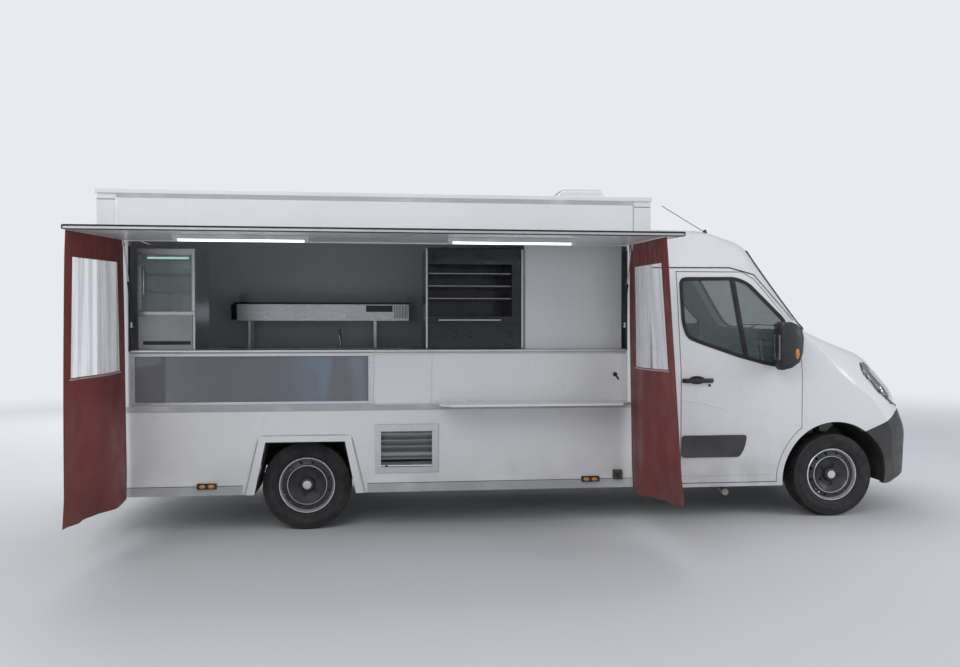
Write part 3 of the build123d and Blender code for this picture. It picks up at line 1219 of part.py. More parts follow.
if __name__ == "__main__":
    os.makedirs("parts", exist_ok=True)
    parts = {}
    for group in (wheel_parts, running_parts, cab_parts, interior_parts, box_parts, flap_parts,
                  counter_parts, fitting_parts):
        parts.update(group())
    trim = door_trim()
    parts["door_trim_left"] = trim
    parts["door_trim_right"] = mirrored(trim)
    for name, shape in parts.items():
        export_step(shape, f"parts/{name}.step")
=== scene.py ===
"""Food truck: finish, trim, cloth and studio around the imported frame. Metres, +X forward, +Z up."""

import itertools
import math

import bmesh
import bpy
from mathutils import Matrix, Vector
from mathutils.bvhtree import BVHTree


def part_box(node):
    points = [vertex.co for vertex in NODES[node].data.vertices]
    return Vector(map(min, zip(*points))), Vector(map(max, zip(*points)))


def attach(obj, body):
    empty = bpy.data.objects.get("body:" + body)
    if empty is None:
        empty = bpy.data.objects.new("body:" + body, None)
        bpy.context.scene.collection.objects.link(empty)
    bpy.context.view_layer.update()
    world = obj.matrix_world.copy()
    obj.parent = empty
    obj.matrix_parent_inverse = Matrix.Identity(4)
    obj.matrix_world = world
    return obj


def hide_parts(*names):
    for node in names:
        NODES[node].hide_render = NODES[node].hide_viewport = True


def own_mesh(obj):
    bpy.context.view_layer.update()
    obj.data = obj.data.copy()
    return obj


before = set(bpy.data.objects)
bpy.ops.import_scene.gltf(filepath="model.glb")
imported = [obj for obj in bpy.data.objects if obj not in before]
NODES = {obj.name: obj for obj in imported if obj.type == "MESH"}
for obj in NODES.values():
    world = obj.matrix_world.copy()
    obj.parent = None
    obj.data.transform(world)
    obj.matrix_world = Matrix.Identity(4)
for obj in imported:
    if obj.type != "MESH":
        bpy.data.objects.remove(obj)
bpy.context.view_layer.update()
ORIGIN, X_AXIS, Y_AXIS, Z_AXIS = (0, 0, 0), (1, 0, 0), (0, 1, 0), (0, 0, 1)
SIDES = (("left", 1), ("right", -1))

# Camera, solved from the box's edges and the wheels
CAMERA_AT = (-1.582, -7.870, 1.600)
CAMERA_YAW = 6.43
CAMERA_PITCH = -0.56
FOCAL_PX = 870.0
PHOTO_W = 960.0
SENSOR_W = 36.0

# Places taken from the frame
TYRE_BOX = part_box("tyre_front_right")
AXLE_X = (TYRE_BOX[0].x + TYRE_BOX[1].x) / 2
TYRE_R = TYRE_BOX[1].z / 2
WHEEL_Y = -(TYRE_BOX[0].y + TYRE_BOX[1].y) / 2
SKIRT_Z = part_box("box_walls")[0].z
HATCH_X = (-3.470, 0.365)
HINGE = Vector((0.0, -1.105, 2.235))
FLAP_DROOP = math.radians(2.4)
FLAP_REACH = 1.215
FLAP_X = (-3.515, 0.400)


# Mesh helpers

def dress(obj, material, body=None, angle=35.0):
    """Link a mesh object, give it its material and shading, and let it ride on a body."""
    if obj.name not in bpy.context.scene.collection.objects:
        bpy.context.scene.collection.objects.link(obj)
    mesh = obj.data
    mesh.validate()
    work = bmesh.new()
    work.from_mesh(mesh)
    bmesh.ops.recalc_face_normals(work, faces=work.faces)
    work.to_mesh(mesh)
    work.free()
    smooth_below(mesh, angle)
    mesh.materials.clear()
    mesh.materials.append(material)
    if body:
        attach(obj, body)
    return obj


def smooth_below(mesh, angle):
    mesh.shade_smooth()
    mesh.set_sharp_from_angle(angle=math.radians(angle))


def step_angle(k, steps):
    return 2 * math.pi * k / steps


class Shape:
    """Collects many small solids into one mesh."""

    def __init__(self):
        self.verts = []
        self.faces = []

    def add(self, verts, faces):
        start = len(self.verts)
        self.verts.extend(Vector(v) for v in verts)
        self.faces.extend([start + i for i in f] for f in faces)

    def skin(self, rows, closed=False, looped=True):
        """Join rows of points one after another; looped rows run round, with a cap at each open end."""
        n, count = len(rows[0]), len(rows)
        faces = []
        for i in range(count if closed else count - 1):
            j = (i + 1) % count
            for k in range(n if looped else n - 1):
                m = (k + 1) % n
                faces.append([i * n + k, i * n + m, j * n + m, j * n + k])
        if looped and not closed:
            faces.append(list(range(n))[::-1])
            faces.append([(count - 1) * n + k for k in range(n)])
        self.add([p for row in rows for p in row], faces)

    def block(self, lo, hi, bevel=0.002, turn=None):
        """A box between two corners with chamfered edges; turn is a matrix about its centre."""
        centre = (Vector(lo) + Vector(hi)) / 2
        half = Vector([abs(h) for h in (Vector(hi) - Vector(lo)) / 2])
        chamfer = min(bevel, 0.45 * min(half))
        work = bmesh.new()
        for signs in itertools.product((-1, 1), repeat=3):
            for axis in range(3):
                cuts = [0.0 if k == axis else chamfer for k in range(3)]
                work.verts.new([sign * (h - c) for sign, h, c in zip(signs, half, cuts)])
        bmesh.ops.convex_hull(work, input=work.verts)
        bmesh.ops.dissolve_limit(work, angle_limit=0.01, verts=work.verts, edges=work.edges)
        work.verts.index_update()
        matrix = turn or Matrix.Identity(3)
        self.add([centre + matrix @ v.co for v in work.verts],
                 [[v.index for v in f.verts] for f in work.faces])
        work.free()

    def lathe(self, profile, centre=ORIGIN, axis=Y_AXIS, steps=48):
        """Turn (radius, height) pairs about an axis through centre."""
        z_dir = Vector(axis).normalized()
        x_dir = z_dir.orthogonal().normalized()
        y_dir = z_dir.cross(x_dir)
        rows = []
        for k in range(steps):
            a = step_angle(k, steps)
            out = x_dir * math.cos(a) + y_dir * math.sin(a)
            rows.append([Vector(centre) + out * r + z_dir * h for r, h in profile])
        self.skin(rows, True, False)

    def button(self, profile, centre, half_x, half_z, s, steps=24):
        """A profile of radius 1 turned about Y and drawn out to an ellipse, facing the side s."""
        start = len(self.verts)
        self.lathe(profile, steps=steps)
        for v in self.verts[start:]:
            v.xyz = (centre[0] + v.x * half_x, centre[1] + s * v.y, centre[2] + v.z * half_z)

    def tube(self, path, radius, steps=10, flat=1.0, up=Z_AXIS):
        """A round or flattened tube along points."""
        path = [Vector(p) for p in path]
        rows = []
        for before, p, after in zip(path[:1] + path, path, path[1:] + path[-1:]):
            run = (after - before).normalized()
            side = run.cross(Vector(up))
            if side.length < 1e-4:
                side = run.orthogonal()
            side.normalize()
            lift = side.cross(run)
            angles = [step_angle(k, steps) for k in range(steps)]
            rows.append([p + side * radius * math.cos(a) + lift * radius * flat * math.sin(a)
                         for a in angles])
        self.skin(rows)

    def sweep(self, section, path, normals, closed=False):
        """Carry a section of (out, across) pairs along points, out along each normal."""
        path = [Vector(p) for p in path]
        start, end = (path[-1:], path[:1]) if closed else (path[:1], path[-1:])
        rows = []
        for before, p, after, normal in zip(start + path, path, path[1:] + end, normals):
            out = Vector(normal).normalized()
            across = (after - before).normalized().cross(out).normalized()
            rows.append([p + out * a + across * b for a, b in section])
        self.skin(rows, closed)

    def extrude(self, outline, y0, y1):
        """Pull an outline in x and z from y0 to y1."""
        self.skin([[(x, y, z) for x, z in outline] for y in (y0, y1)])

    def make(self, name, material, body=None, angle=35.0):
        mesh = bpy.data.meshes.new(name)
        mesh.from_pydata([tuple(v) for v in self.verts], [], [tuple(f) for f in self.faces])
        return dress(bpy.data.objects.new(name, mesh), material, body, angle)

    def piece(self, name, key, body="chassis", angle=35.0):
        """Make a piece with a material."""
        made = self.make(name, MAT[key], body, angle)
        return made


def shapes(count):
    return [Shape() for _ in range(count)]


def weld(obj):
    obj.modifiers.new("weld", "WELD").merge_threshold = 0.0001


def soften(obj, width, segments=2, angle=30.0):
    """Round an object's sharp edges; its own mesh stays as it is."""
    weld(obj)
    bevel = obj.modifiers.new("edges", "BEVEL")
    bevel.width = width
    bevel.segments = segments
    bevel.limit_method = "ANGLE"
    bevel.angle_limit = math.radians(angle)
    bevel.harden_normals = True


def even_shading(obj):
    """Let a curved pane shade evenly over its long facets."""
    weld(obj)
    weighted = obj.modifiers.new("weighted", "WEIGHTED_NORMAL")
    weighted.mode = "FACE_AREA_WITH_ANGLE"
    weighted.weight = 100


def rounded_outline(points, radius, steps=4):
    """An outline with each corner turned by a small curve."""
    result = []
    for i, point in enumerate(points):
        corner = Vector(point)
        back = Vector(points[i - 1]) - corner
        ahead = Vector(points[(i + 1) % len(points)]) - corner
        reach = min(radius, 0.45 * back.length, 0.45 * ahead.length)
        a = corner + back.normalized() * reach
        b = corner + ahead.normalized() * reach
        for t in (k / steps for k in range(steps + 1)):
            result.append(tuple(a * (1 - t) ** 2 + corner * 2 * t * (1 - t) + b * t ** 2))
    return result


# Materials

def add_node(tree, kind, inputs=(), **values):
    """A new node with its settings, and its inputs as (socket, number or link) pairs."""
    made = tree.nodes.new(kind)
    for key, value in values.items():
        setattr(made, key, value)
    for socket, value in inputs:
        if isinstance(value, bpy.types.NodeSocket):
            tree.links.new(value, made.inputs[socket])
        else:
            made.inputs[socket].default_value = value
    return made


class Look:
    """A Principled material built up from a base and layers.

    A field is a factor socket, or the scale, detail, stretch and distortion of a noise."""

    def __init__(self, name, color, roughness, metallic=0.0, coat=0.0, alpha=1.0):
        self.material = bpy.data.materials.new(name)
        self.material.use_nodes = True
        self.tree = self.material.node_tree
        self.shader = self.tree.nodes["Principled BSDF"]
        self.color = color
        for socket, value in (("Base Color", (*color, 1.0)), ("Roughness", roughness), ("Metallic", metallic),
                              ("Coat Weight", coat), ("Coat Roughness", 0.05), ("Alpha", alpha)):
            self.set(socket, value)
        self.coords = self.node("ShaderNodeTexCoord").outputs["Object"]
        self.last = None
        self.height = None

    def set(self, socket, value):
        self.shader.inputs[socket].default_value = value

    def node(self, kind, inputs=(), **values):
        return add_node(self.tree, kind, inputs, **values)

    def link(self, value, socket):
        """Let a value drive a socket of the shader."""
        self.tree.links.new(value, self.shader.inputs[socket])

    def field(self, value):
        return value if isinstance(value, bpy.types.NodeSocket) else self.noise(*value)

    def noise(self, scale, detail=3.0, stretch=(1, 1, 1), distortion=0.0):
        mapping = self.node("ShaderNodeMapping", [("Scale", stretch), ("Vector", self.coords)])
        inputs = [("Scale", scale), ("Detail", detail), ("Distortion", distortion),
                  ("Vector", mapping.outputs["Vector"])]
        return self.node("ShaderNodeTexNoise", inputs).outputs["Fac"]

    def wave(self, scale, direction):
        return self.node("ShaderNodeTexWave", [("Scale", scale), ("Vector", self.coords)], wave_type="BANDS",
                         bands_direction=direction).outputs["Fac"]

    def axis(self, name):
        """One coordinate of the point, in metres."""
        return self.node("ShaderNodeSeparateXYZ", [(0, self.coords)]).outputs[name]

    def ramp(self, value, low, high, start=0.0, end=1.0):
        return self.node("ShaderNodeMapRange", [("From Min", low), ("From Max", high), ("To Min", start),
                                                ("To Max", end), ("Value", value)],
                         interpolation_type="SMOOTHSTEP").outputs["Result"]

    def times(self, a, b):
        return self.node("ShaderNodeMath", [(0, a), (1, b)], operation="MULTIPLY").outputs[0]

    def tint(self, color, field):
        """Mix a colour over the base by a field."""
        mix = self.node("ShaderNodeMix", [("A", self.last or (*self.color, 1.0)), ("B", (*color, 1.0)),
                                          ("Factor", self.field(field))], data_type="RGBA")
        self.last = mix.outputs["Result"]
        self.link(self.last, "Base Color")
        return self

    def patches(self, color, field, low, high, amount=1.0):
        """Cloudy patches of a colour."""
        return self.tint(color, self.ramp(self.field(field), low, high, 0.0, amount))

    def rough(self, field, low, high):
        self.link(self.ramp(self.field(field), 0.3, 0.7, low, high), "Roughness")
        return self

    def bump(self, field, distance, strength):
        inputs = [("Distance", distance), ("Strength", strength), ("Height", self.field(field))]
        if self.height:
            inputs.append(("Normal", self.height))
        self.height = self.node("ShaderNodeBump", inputs).outputs["Normal"]
        self.link(self.height, "Normal")
        return self

    def road_dirt(self, top, strength=0.45):
        """Dust that thins out upwards from the ground to top."""
        fade = self.ramp(self.axis("Z"), top, 0.15, 0.0, strength)
        return self.tint((0.30, 0.27, 0.23), self.times(fade, self.ramp(self.noise(4.0, 2.0), 0.20, 0.80)))


def paint_white():
    look = Look("white_paint", (0.80, 0.81, 0.83), 0.28, coat=0.6)
    look.patches((0.70, 0.715, 0.74), (1.3, 3.0), 0.35, 0.75, 0.35).road_dirt(0.95, 0.5)
    return look.rough((3.0, 4.0), 0.22, 0.38).bump((260.0, 1.0), 0.0001, 0.3)


def panel_white(name="box_panel", top=0.75, color=(0.78, 0.79, 0.80)):
    """White panel with faint rain streaks and dust near the ground."""
    look = Look(name, color, 0.33, coat=0.25)
    look.patches((0.68, 0.69, 0.70), (0.9, 3.0), 0.35, 0.75, 0.35)
    look.patches((0.42, 0.40, 0.36), (9.0, 5.0, (1.0, 1.0, 0.05)), 0.56, 0.80, 0.06).road_dirt(top)
    look.rough((2.2, 5.0), 0.26, 0.46).bump((1.1, 0.0), 0.002, 0.05)
    return look.bump((420.0, 1.0), 0.00015, 0.25)


def plastic(name, color, rough=0.5, grain=0.0004, dirt=0.0):
    look = Look(name, color, rough)
    look.patches([c * 1.6 + 0.01 for c in color], (5.0, 5.0), 0.45, 0.8, 0.5)
    if dirt:
        look.road_dirt(1.0, dirt)
    return look.rough((11.0, 4.0), rough - 0.08, rough + 0.1).bump((900.0, 2.0), grain, 0.6)


def brushed(name, color, rough):
    look = Look(name, color, rough, 1.0)
    grain = look.noise(700.0, 2.0, (0.02, 1.0, 1.0))
    look.patches([c * 0.82 for c in color], (3.0, 4.0), 0.35, 0.8, 0.6)
    return look.rough(grain, rough - 0.06, rough + 0.14).bump(grain, 0.0001, 0.5)


def painted_steel(name, color, rough=0.55, rust=0.25, dirt=0.5):
    look = Look(name, color, rough)
    look.patches((0.10, 0.055, 0.03), (14.0, 8.0), 0.58, 0.72, rust).road_dirt(0.8, dirt)
    return look.rough((9.0, 5.0), rough - 0.1, rough + 0.2).bump((120.0, 4.0), 0.0006, 0.5)


def rubber(name, color, dirt):
    look = Look(name, color, 0.72)
    look.patches((0.075, 0.07, 0.062), (9.0, 6.0), 0.45, 0.75, dirt)
    return look.rough((16.0, 4.0), 0.62, 0.85).bump((500.0, 3.0), 0.0005, 0.5)


def tarpaulin():
    look = Look("curtain_red", (0.250, 0.040, 0.034), 0.50)
    look.patches((0.120, 0.018, 0.022), (2.2, 5.0, (1, 1, 0.35)), 0.35, 0.75, 0.65)
    look.patches((0.30, 0.085, 0.07), (1.4, 6.0, (2.5, 2.5, 0.25)), 0.60, 0.85, 0.25)
    look.tint((0.13, 0.07, 0.055), look.ramp(look.axis("Z"), 0.75, 0.25, 0.0, 0.4))
    look.rough((5.0, 4.0), 0.40, 0.60).bump((6.0, 3.0), 0.006, 0.25)
    return look.bump(look.times(look.wave(420.0, "Y"), look.wave(420.0, "Z")), 0.0005, 0.8)


def clear_sheet():
    look = Look("curtain_clear", (0.60, 0.63, 0.68), 0.14, alpha=0.30)
    creases = look.noise(3.0, 3.0, (5.0, 5.0, 0.25), 0.3)
    look.link(look.ramp(creases, 0.38, 0.72, 0.12, 0.36), "Alpha")
    return look.bump(creases, 0.008, 0.35)


def window_glass(name="window_glass", color=(0.10, 0.14, 0.13), alpha=0.42):
    look = Look(name, color, 0.03, coat=1.0, alpha=alpha)
    look.set("Coat Roughness", 0.02)
    return look.rough((4.0, 4.0), 0.02, 0.07)


def display_glass():
    """Dark glass with a painted blue reflection towards its rear end."""
    look = Look("display_glass", (0.23, 0.24, 0.28), 0.05, coat=1.0, alpha=0.55)
    # Painted reflection: a blue tint in clouds, growing towards the rear end
    sheen = look.ramp(look.axis("X"), -2.45, -2.05, 0.0, 0.75)
    clouds = look.ramp(look.noise(3.0, 2.0, (1, 1, 0.3)), 0.40, 0.60)
    look.tint((0.30, 0.42, 0.56), look.times(sheen, clouds))
    look.link(look.ramp(look.noise(1.2, 4.0, (1, 1, 0.4)), 0.3, 0.8, 0.45, 0.70), "Alpha")
    return look.bump((1.0, 1.0), 0.004, 0.1)


def lens(name, color, alpha=0.92, ribs=60.0):
    look = Look(name, color, 0.06, coat=1.0, alpha=alpha).tint([c * 0.8 for c in color], (30.0, 3.0))
    return look.bump(look.wave(ribs, "X"), 0.002, 0.5) if ribs else look


def glow(name, color, strength):
    look = Look(name, (0.9, 0.95, 0.95), 0.3)
    look.set("Emission Color", (*color, 1.0))
    look.set("Emission Strength", strength)
    return look.tint((0.8, 0.86, 0.88), (20.0, 2.0))


def seat_cloth():
    look = Look("seat_cloth", (0.055, 0.057, 0.063), 0.9)
    look.set("Sheen Weight", 0.3)
    return look.patches((0.11, 0.115, 0.125), (220.0, 2.0), 0.45, 0.6).bump((420.0, 2.0), 0.0012, 0.7)


# Key, slot in the record, look
MATERIALS = [
    ("white", "white_paint", paint_white()),
    ("panel", "box_panel", panel_white()),
    # The white inside of the box drawn grey: painted shade of the deep interior
    ("lining_painted_shade", "box_panel", panel_white("inner_lining_painted_shade", 0.0, (0.30, 0.31, 0.33))),
    # Grey of the rails, also the painted shadow band under the roof trim
    ("rail", "box_panel", plastic("rail_grey_and_painted_shadow", (0.42, 0.43, 0.44), 0.42, 0.0001, 0.3)),
    ("black", "black_plastic", plastic("black_plastic", (0.028, 0.029, 0.033), 0.48, dirt=0.35)),
    # Near-black, darker than the black plastic: black liners with painted shade in the wheel arches and the
    # handle's recess
    ("shade", "black_plastic", plastic("black_liner_painted_shade", (0.012, 0.012, 0.013), 0.7, dirt=0.15)),
    ("bezel", "black_plastic", plastic("lamp_bezel", (0.16, 0.165, 0.175), 0.30, 0.0001)),
    ("seal", "black_plastic", rubber("seal_rubber", (0.016, 0.016, 0.018), 0.2)),
    ("enamel", "black_enamel", plastic("black_enamel", (0.012, 0.013, 0.018), 0.16, 0.0)),
    ("grey", "grey_plastic", plastic("grey_plastic", (0.55, 0.55, 0.53), 0.45)),
    ("alu", "aluminium", brushed("aluminium", (0.66, 0.67, 0.69), 0.32)),
    ("bright", "aluminium", brushed("bright_trim", (0.72, 0.73, 0.75), 0.18)),
    ("mirror", "aluminium", brushed("mirror_glass", (0.42, 0.44, 0.47), 0.08)),
    ("chrome", "aluminium", brushed("reflector_chrome", (0.86, 0.87, 0.89), 0.12)),
    ("steel", "stainless", brushed("stainless", (0.56, 0.57, 0.58), 0.26)),
    ("chassis", "chassis_black", painted_steel("chassis_black", (0.022, 0.022, 0.024))),
    ("iron", "engine_iron", painted_steel("engine_iron", (0.12, 0.12, 0.125), 0.6, 0.4)),
    ("iron_pale", "engine_iron", painted_steel("exhaust_steel", (0.34, 0.32, 0.29), 0.5, 0.5)),
    ("wheel", "wheel_steel", painted_steel("wheel_steel", (0.34, 0.35, 0.37), 0.36, 0.12, 0.12)),
    ("wheel_dark", "wheel_steel", painted_steel("wheel_dark", (0.022, 0.023, 0.030), 0.40, 0.1, 0.10)),
    ("tyre", "tyre", rubber("tyre_rubber", (0.018, 0.018, 0.019), 0.35)),
    ("glass", "glass", window_glass()),
    ("screen", "glass", window_glass("screen_glass", (0.13, 0.17, 0.16), 0.36)),
    ("clear_pane", "glass", window_glass("cabinet_glass", (0.30, 0.36, 0.36), 0.30)),
    ("display", "glass", display_glass()),
    ("clear", "glass", clear_sheet()),
    ("tarp", "curtain_red", tarpaulin()),
    ("weld", "curtain_red", plastic("curtain_weld", (0.50, 0.42, 0.42), 0.42)),
    ("seat", "seat_cloth", seat_cloth()),
    ("lamp", "lamp_clear", lens("lamp_clear", (0.80, 0.82, 0.84), 0.12, 0.0)),
    ("amber", "lamp_amber", lens("lamp_amber", (0.85, 0.28, 0.03))),
    ("red", "lamp_amber", lens("lamp_red", (0.55, 0.015, 0.012))),
    ("tube", "lamp_clear", glow("lamp_tube", (0.80, 1.0, 1.0), 2.2)),
    ("tube_green", "lamp_clear", glow("fridge_tube", (0.55, 0.95, 0.80), 1.0)),
]
MAT = {key: look.material for key, _, look in MATERIALS}

# Material, width of the rounded edges, CAD nodes that stay visible
CAD_LOOKS = [
    ("white", 0.0, "cab_body door_left door_right bonnet"),
    ("black", 0.0, "front_bumper aerial steering_wheel"),
    ("black", 0.012, "dashboard"),
    ("black", 0.006, "fuel_tank"),
    ("black", 0.001, "power_inlet"),
    ("lamp", 0.0, "headlamps"),
    ("screen", 0.0, "windscreen"),
    ("glass", 0.0, "door_glass_left door_glass_right"),
    ("display", 0.0, "display_glass"),
    ("panel", 0.0, "box_roof"),
    ("panel", 0.002, "box_walls hatch_frame rear_door serving_shelf"),
    ("panel", 0.0015, "counter_front flap"),
    ("panel", 0.003, "roof_vent"),
    # Counter units in the grey lining: painted shade inside the box
    ("lining_painted_shade", 0.001, "counter_units"),
    ("grey", 0.002, "box_floor"),
    ("grey", 0.003, "flap_lamps"),
    ("shade", 0.003, "marker_lamps"),
    ("alu", 0.0, "worktop"),
    ("alu", 0.0008, "louvre"),
    ("steel", 0.002, "fridge topping_chiller"),
    ("enamel", 0.002, "oven"),
    ("chassis", 0.003, "rear_bumper chassis_frame"),
    ("chassis", 0.002, "rear_axle knuckle_left knuckle_right"),
    ("chassis", 0.0, "strut_tubes"),
    ("bright", 0.0, "strut_rods"),
    ("iron", 0.01, "engine_block"),
]


def finish_nodes():
    """Give every CAD node that stays visible its material and rounded edges."""
    for key, width, names in CAD_LOOKS:
        for obj in (NODES[name] for name in names.split()):
            obj.data.materials.clear()
            obj.data.materials.append(MAT[key])
            if width:
                soften(obj, width)
            elif key in ("glass", "screen"):
                even_shading(obj)


# Studio

BACKDROP = (0.80, 0.83, 0.87, 1.0)
SKY_LIGHT = (0.90, 0.94, 1.0, 1.0)
SKY_STRENGTH = 0.50
FLOOR_COLOR = (0.68, 0.69, 0.71)
FLOOR_FADE = (5.5, 16.0)
FLOOR_HALF = 70
# Name, place, aim, size, power
LAMPS = [
    ("key", (-5.0, -8.5, 6.5), (-0.5, 0.0, 1.2), 6.0, 250),
    ("side", (9.0, -5.5, 4.5), (1.0, 0.0, 1.0), 5.0, 240),
    ("top", (-1.0, 3.0, 9.0), (-0.5, 0.0, 1.5), 8.0, 330),
    ("back", (-7.0, 8.0, 5.0), (-0.5, 0.0, 1.2), 6.0, 260),
]


def blend_shaders(tree, factor, first, second, output):
    """Mix two shaders by a factor into an output node."""
    mix = add_node(tree, "ShaderNodeMixShader", [(0, factor), (1, first.outputs[0]), (2, second.outputs[0])])
    tree.links.new(mix.outputs[0], tree.nodes[output].inputs["Surface"])


def studio():
    """Pale floor that fades into the world, soft lamps and the camera."""
    scene = bpy.context.scene
    scene.view_settings.view_transform = "Standard"
    scene.world = bpy.data.worlds.new("studio")
    scene.world.use_nodes = True
    tree = scene.world.node_tree
    light = tree.nodes["Background"]
    light.inputs["Color"].default_value = SKY_LIGHT
    light.inputs["Strength"].default_value = SKY_STRENGTH
    seen = add_node(tree, "ShaderNodeBackground", [("Color", BACKDROP)])
    rays = add_node(tree, "ShaderNodeLightPath").outputs
    view = add_node(tree, "ShaderNodeMath", [(0, rays["Is Camera Ray"]), (1, rays["Is Transmission Ray"])],
                    operation="MAXIMUM")
    blend_shaders(tree, view.outputs[0], light, seen, "World Output")

    look = Look("floor", FLOOR_COLOR, 0.8)
    distance = look.node("ShaderNodeVectorMath", [(0, look.coords)], operation="LENGTH")
    emission = look.node("ShaderNodeEmission", [("Color", BACKDROP)])
    blend_shaders(look.tree, look.ramp(distance.outputs["Value"], *FLOOR_FADE), look.shader, emission,
                  "Material Output")
    floor = Shape()
    corners = ((-1, -1), (1, -1), (1, 1), (-1, 1))
    floor.add([(FLOOR_HALF * x, FLOOR_HALF * y, 0) for x, y in corners], [(0, 1, 2, 3)])
    floor.make("floor", look.material)

    for name, at, aim, size, power in LAMPS:
        lamp = bpy.data.lights.new(name, "AREA")
        lamp.shape = "SQUARE"
        lamp.size = size
        lamp.energy = power
        point_at(bpy.data.objects.new(name, lamp), at, Vector(aim) - Vector(at))
    camera = bpy.data.objects.new("camera", bpy.data.cameras.new("camera"))
    camera.data.sensor_width = SENSOR_W
    camera.data.lens = FOCAL_PX * SENSOR_W / PHOTO_W
    yaw, pitch = math.radians(CAMERA_YAW), math.radians(CAMERA_PITCH)
    point_at(camera, CAMERA_AT, Vector((math.sin(yaw) * math.cos(pitch), math.cos(yaw) * math.cos(pitch),
                                        math.sin(pitch))))
    scene.camera = camera


def point_at(obj, at, forward):
    """Place a lamp or camera so that it looks forward."""
    obj.location = at
    obj.rotation_euler = forward.to_track_quat("-Z", "Y").to_euler()
    bpy.context.scene.collection.objects.link(obj)


# Wheels, about the Y axis; profiles are (radius, y) pairs

TREAD_STEPS = 160
TREAD_DEPTH = 0.007
SIPE_DEPTH = 0.0056
TREAD_LEAD = 0.3
SHOULDER_Y = 0.101
CROWN = 0.004
SIDEWALL = [
    (0.203, 0.0800), (0.219, 0.0830), (0.224, 0.0935), (0.230, 0.0990), (0.244, 0.1055), (0.246, 0.1075),
    (0.252, 0.1078), (0.254, 0.1066), (0.268, 0.1110), (0.284, 0.1122), (0.286, 0.1125), (0.294, 0.1124),
    (0.296, 0.1112), (0.309, 0.1094), (0.324, 0.1064), (0.336, 0.1032),
]
# Half of the tread from the shoulder to the middle. Columns: y, 1 on a rib or 0 in a groove, sipes per step
TREAD_HALF = [
    (0.1010, 1, 2), (0.0760, 1, 2), (0.0750, 0, 0), (0.0670, 0, 0), (0.0660, 1, 4), (0.0420, 1, 4),
    (0.0410, 0, 0), (0.0320, 0, 0), (0.0310, 1, 8), (0.0060, 1, 8), (0.0050, 0, 0),
]
SIDE_BARS = 36
SIDE_BAR_R = 0.316
SIDE_BAR_Y = 0.1088
SIDE_BAR_HALF = Vector((0.007, 0.0012, 0.0025))
RIM = [
    (0.173, -0.02), (0.193, -0.080), (0.196, -0.090), (0.2165, -0.093), (0.218, -0.091), (0.218, -0.084),
    (0.2060, -0.0815), (0.2027, -0.078), (0.2027, -0.060), (0.181, -0.03), (0.181, 0.04), (0.2027, 0.066),
    (0.2027, 0.078), (0.2060, 0.0815), (0.218, 0.084), (0.218, 0.091), (0.2150, 0.093), (0.2085, 0.092),
    (0.2020, 0.084), (0.1985, 0.070), (0.1900, 0.050), (0.1730, 0.034),
]
DISC_FRONT = [
    (0.020, 0.050), (0.060, 0.050), (0.072, 0.052), (0.100, 0.052), (0.112, 0.058), (0.138, 0.070),
    (0.147, 0.080), (0.1515, 0.083), (0.156, 0.080), (0.160, 0.074), (0.166, 0.071), (0.196, 0.066),
]
DISC_T = 0.006
VENT_HOLES = 12
VENT_PCD_R = 0.181
VENT = [(0.0001, 0.0), (0.0125, 0.0), (0.0125, 0.1), (0.0001, 0.1)]
BRIGHT_RINGS = [
    [(0.1470, 0.0800), (0.1500, 0.0836), (0.1530, 0.0836), (0.1560, 0.0805)],
    [(0.2030, 0.0850), (0.2085, 0.0925), (0.2150, 0.0935), (0.2180, 0.0915), (0.2184, 0.0840)],
]
BOLTS = 5
BOLT_PCD_R = 0.082
NUT = [(0.0145, 0.0), (0.0140, 0.005), (0.0105, 0.006), (0.0105, 0.021), (0.0080, 0.024), (0.0001, 0.024)]
HUB = [(0.062, 0.051), (0.059, 0.066), (0.050, 0.078), (0.040, 0.081), (0.0001, 0.081)]
CAP = [(0.034, 0.0805), (0.033, 0.086), (0.026, 0.0875), (0.018, 0.0865), (0.0001, 0.0885)]
VALVE = [(0.176, 0.077, -0.074), (0.168, 0.096, -0.070)]
# How far the wheels are turned from one another
SIDE_SPIN = 0.74
FRONT_SPIN = 0.5


def ring_of(count, radius, y, share=0.0):
    """Places round the axle, each with its angle."""
    for k in range(count):
        a = step_angle(k + share, count)
        yield Vector((radius * math.cos(a), y, radius * math.sin(a))), a


def turned(*profiles):
    shape = Shape()
    for profile in profiles:
        shape.lathe(profile, steps=96)
    return shape


def tyre_shape():
    """Sidewalls with raised rings, and a tread of ribs, grooves and sipes."""
    columns = [(r, y, 0) for r, y in SIDEWALL]
    for y, rib, sipes in TREAD_HALF:
        radius = TYRE_R - CROWN * (y / SHOULDER_Y) ** 2
        columns.append((radius if rib else radius - TREAD_DEPTH, y, sipes))
    columns += [(r, -y, sipes) for r, y, sipes in reversed(columns)]
    rows = []
    for k in range(TREAD_STEPS):
        row = []
        for r, y, sipes in columns:
            radius = r - SIPE_DEPTH if sipes and k % sipes == 0 else r
            a = step_angle(k, TREAD_STEPS) + (TREAD_LEAD * y if sipes else 0.0)
            row.append((radius * math.cos(a), y, radius * math.sin(a)))
        rows.append(row)
    shape = Shape()
    shape.skin(rows, True, False)
    for s in (-1, 1):
        for centre, a in ring_of(SIDE_BARS, SIDE_BAR_R, s * SIDE_BAR_Y):
            shape.block(centre - SIDE_BAR_HALF, centre + SIDE_BAR_HALF, 0.0006, Matrix.Rotation(-a, 3, "Y"))
    return shape


def cut(obj, cutter):
    """Subtract one mesh object from another for good."""
    modifier = obj.modifiers.new("cut", "BOOLEAN")
    modifier.object = cutter
    modifier.solver = "EXACT"
    obj.data = evaluated(obj)
    bpy.data.objects.remove(cutter)


def evaluated(obj):
    """An object's mesh with its modifiers, which are then taken off."""
    depsgraph = bpy.context.evaluated_depsgraph_get()
    mesh = bpy.data.meshes.new_from_object(obj.evaluated_get(depsgraph))
    obj.modifiers.clear()
    return mesh


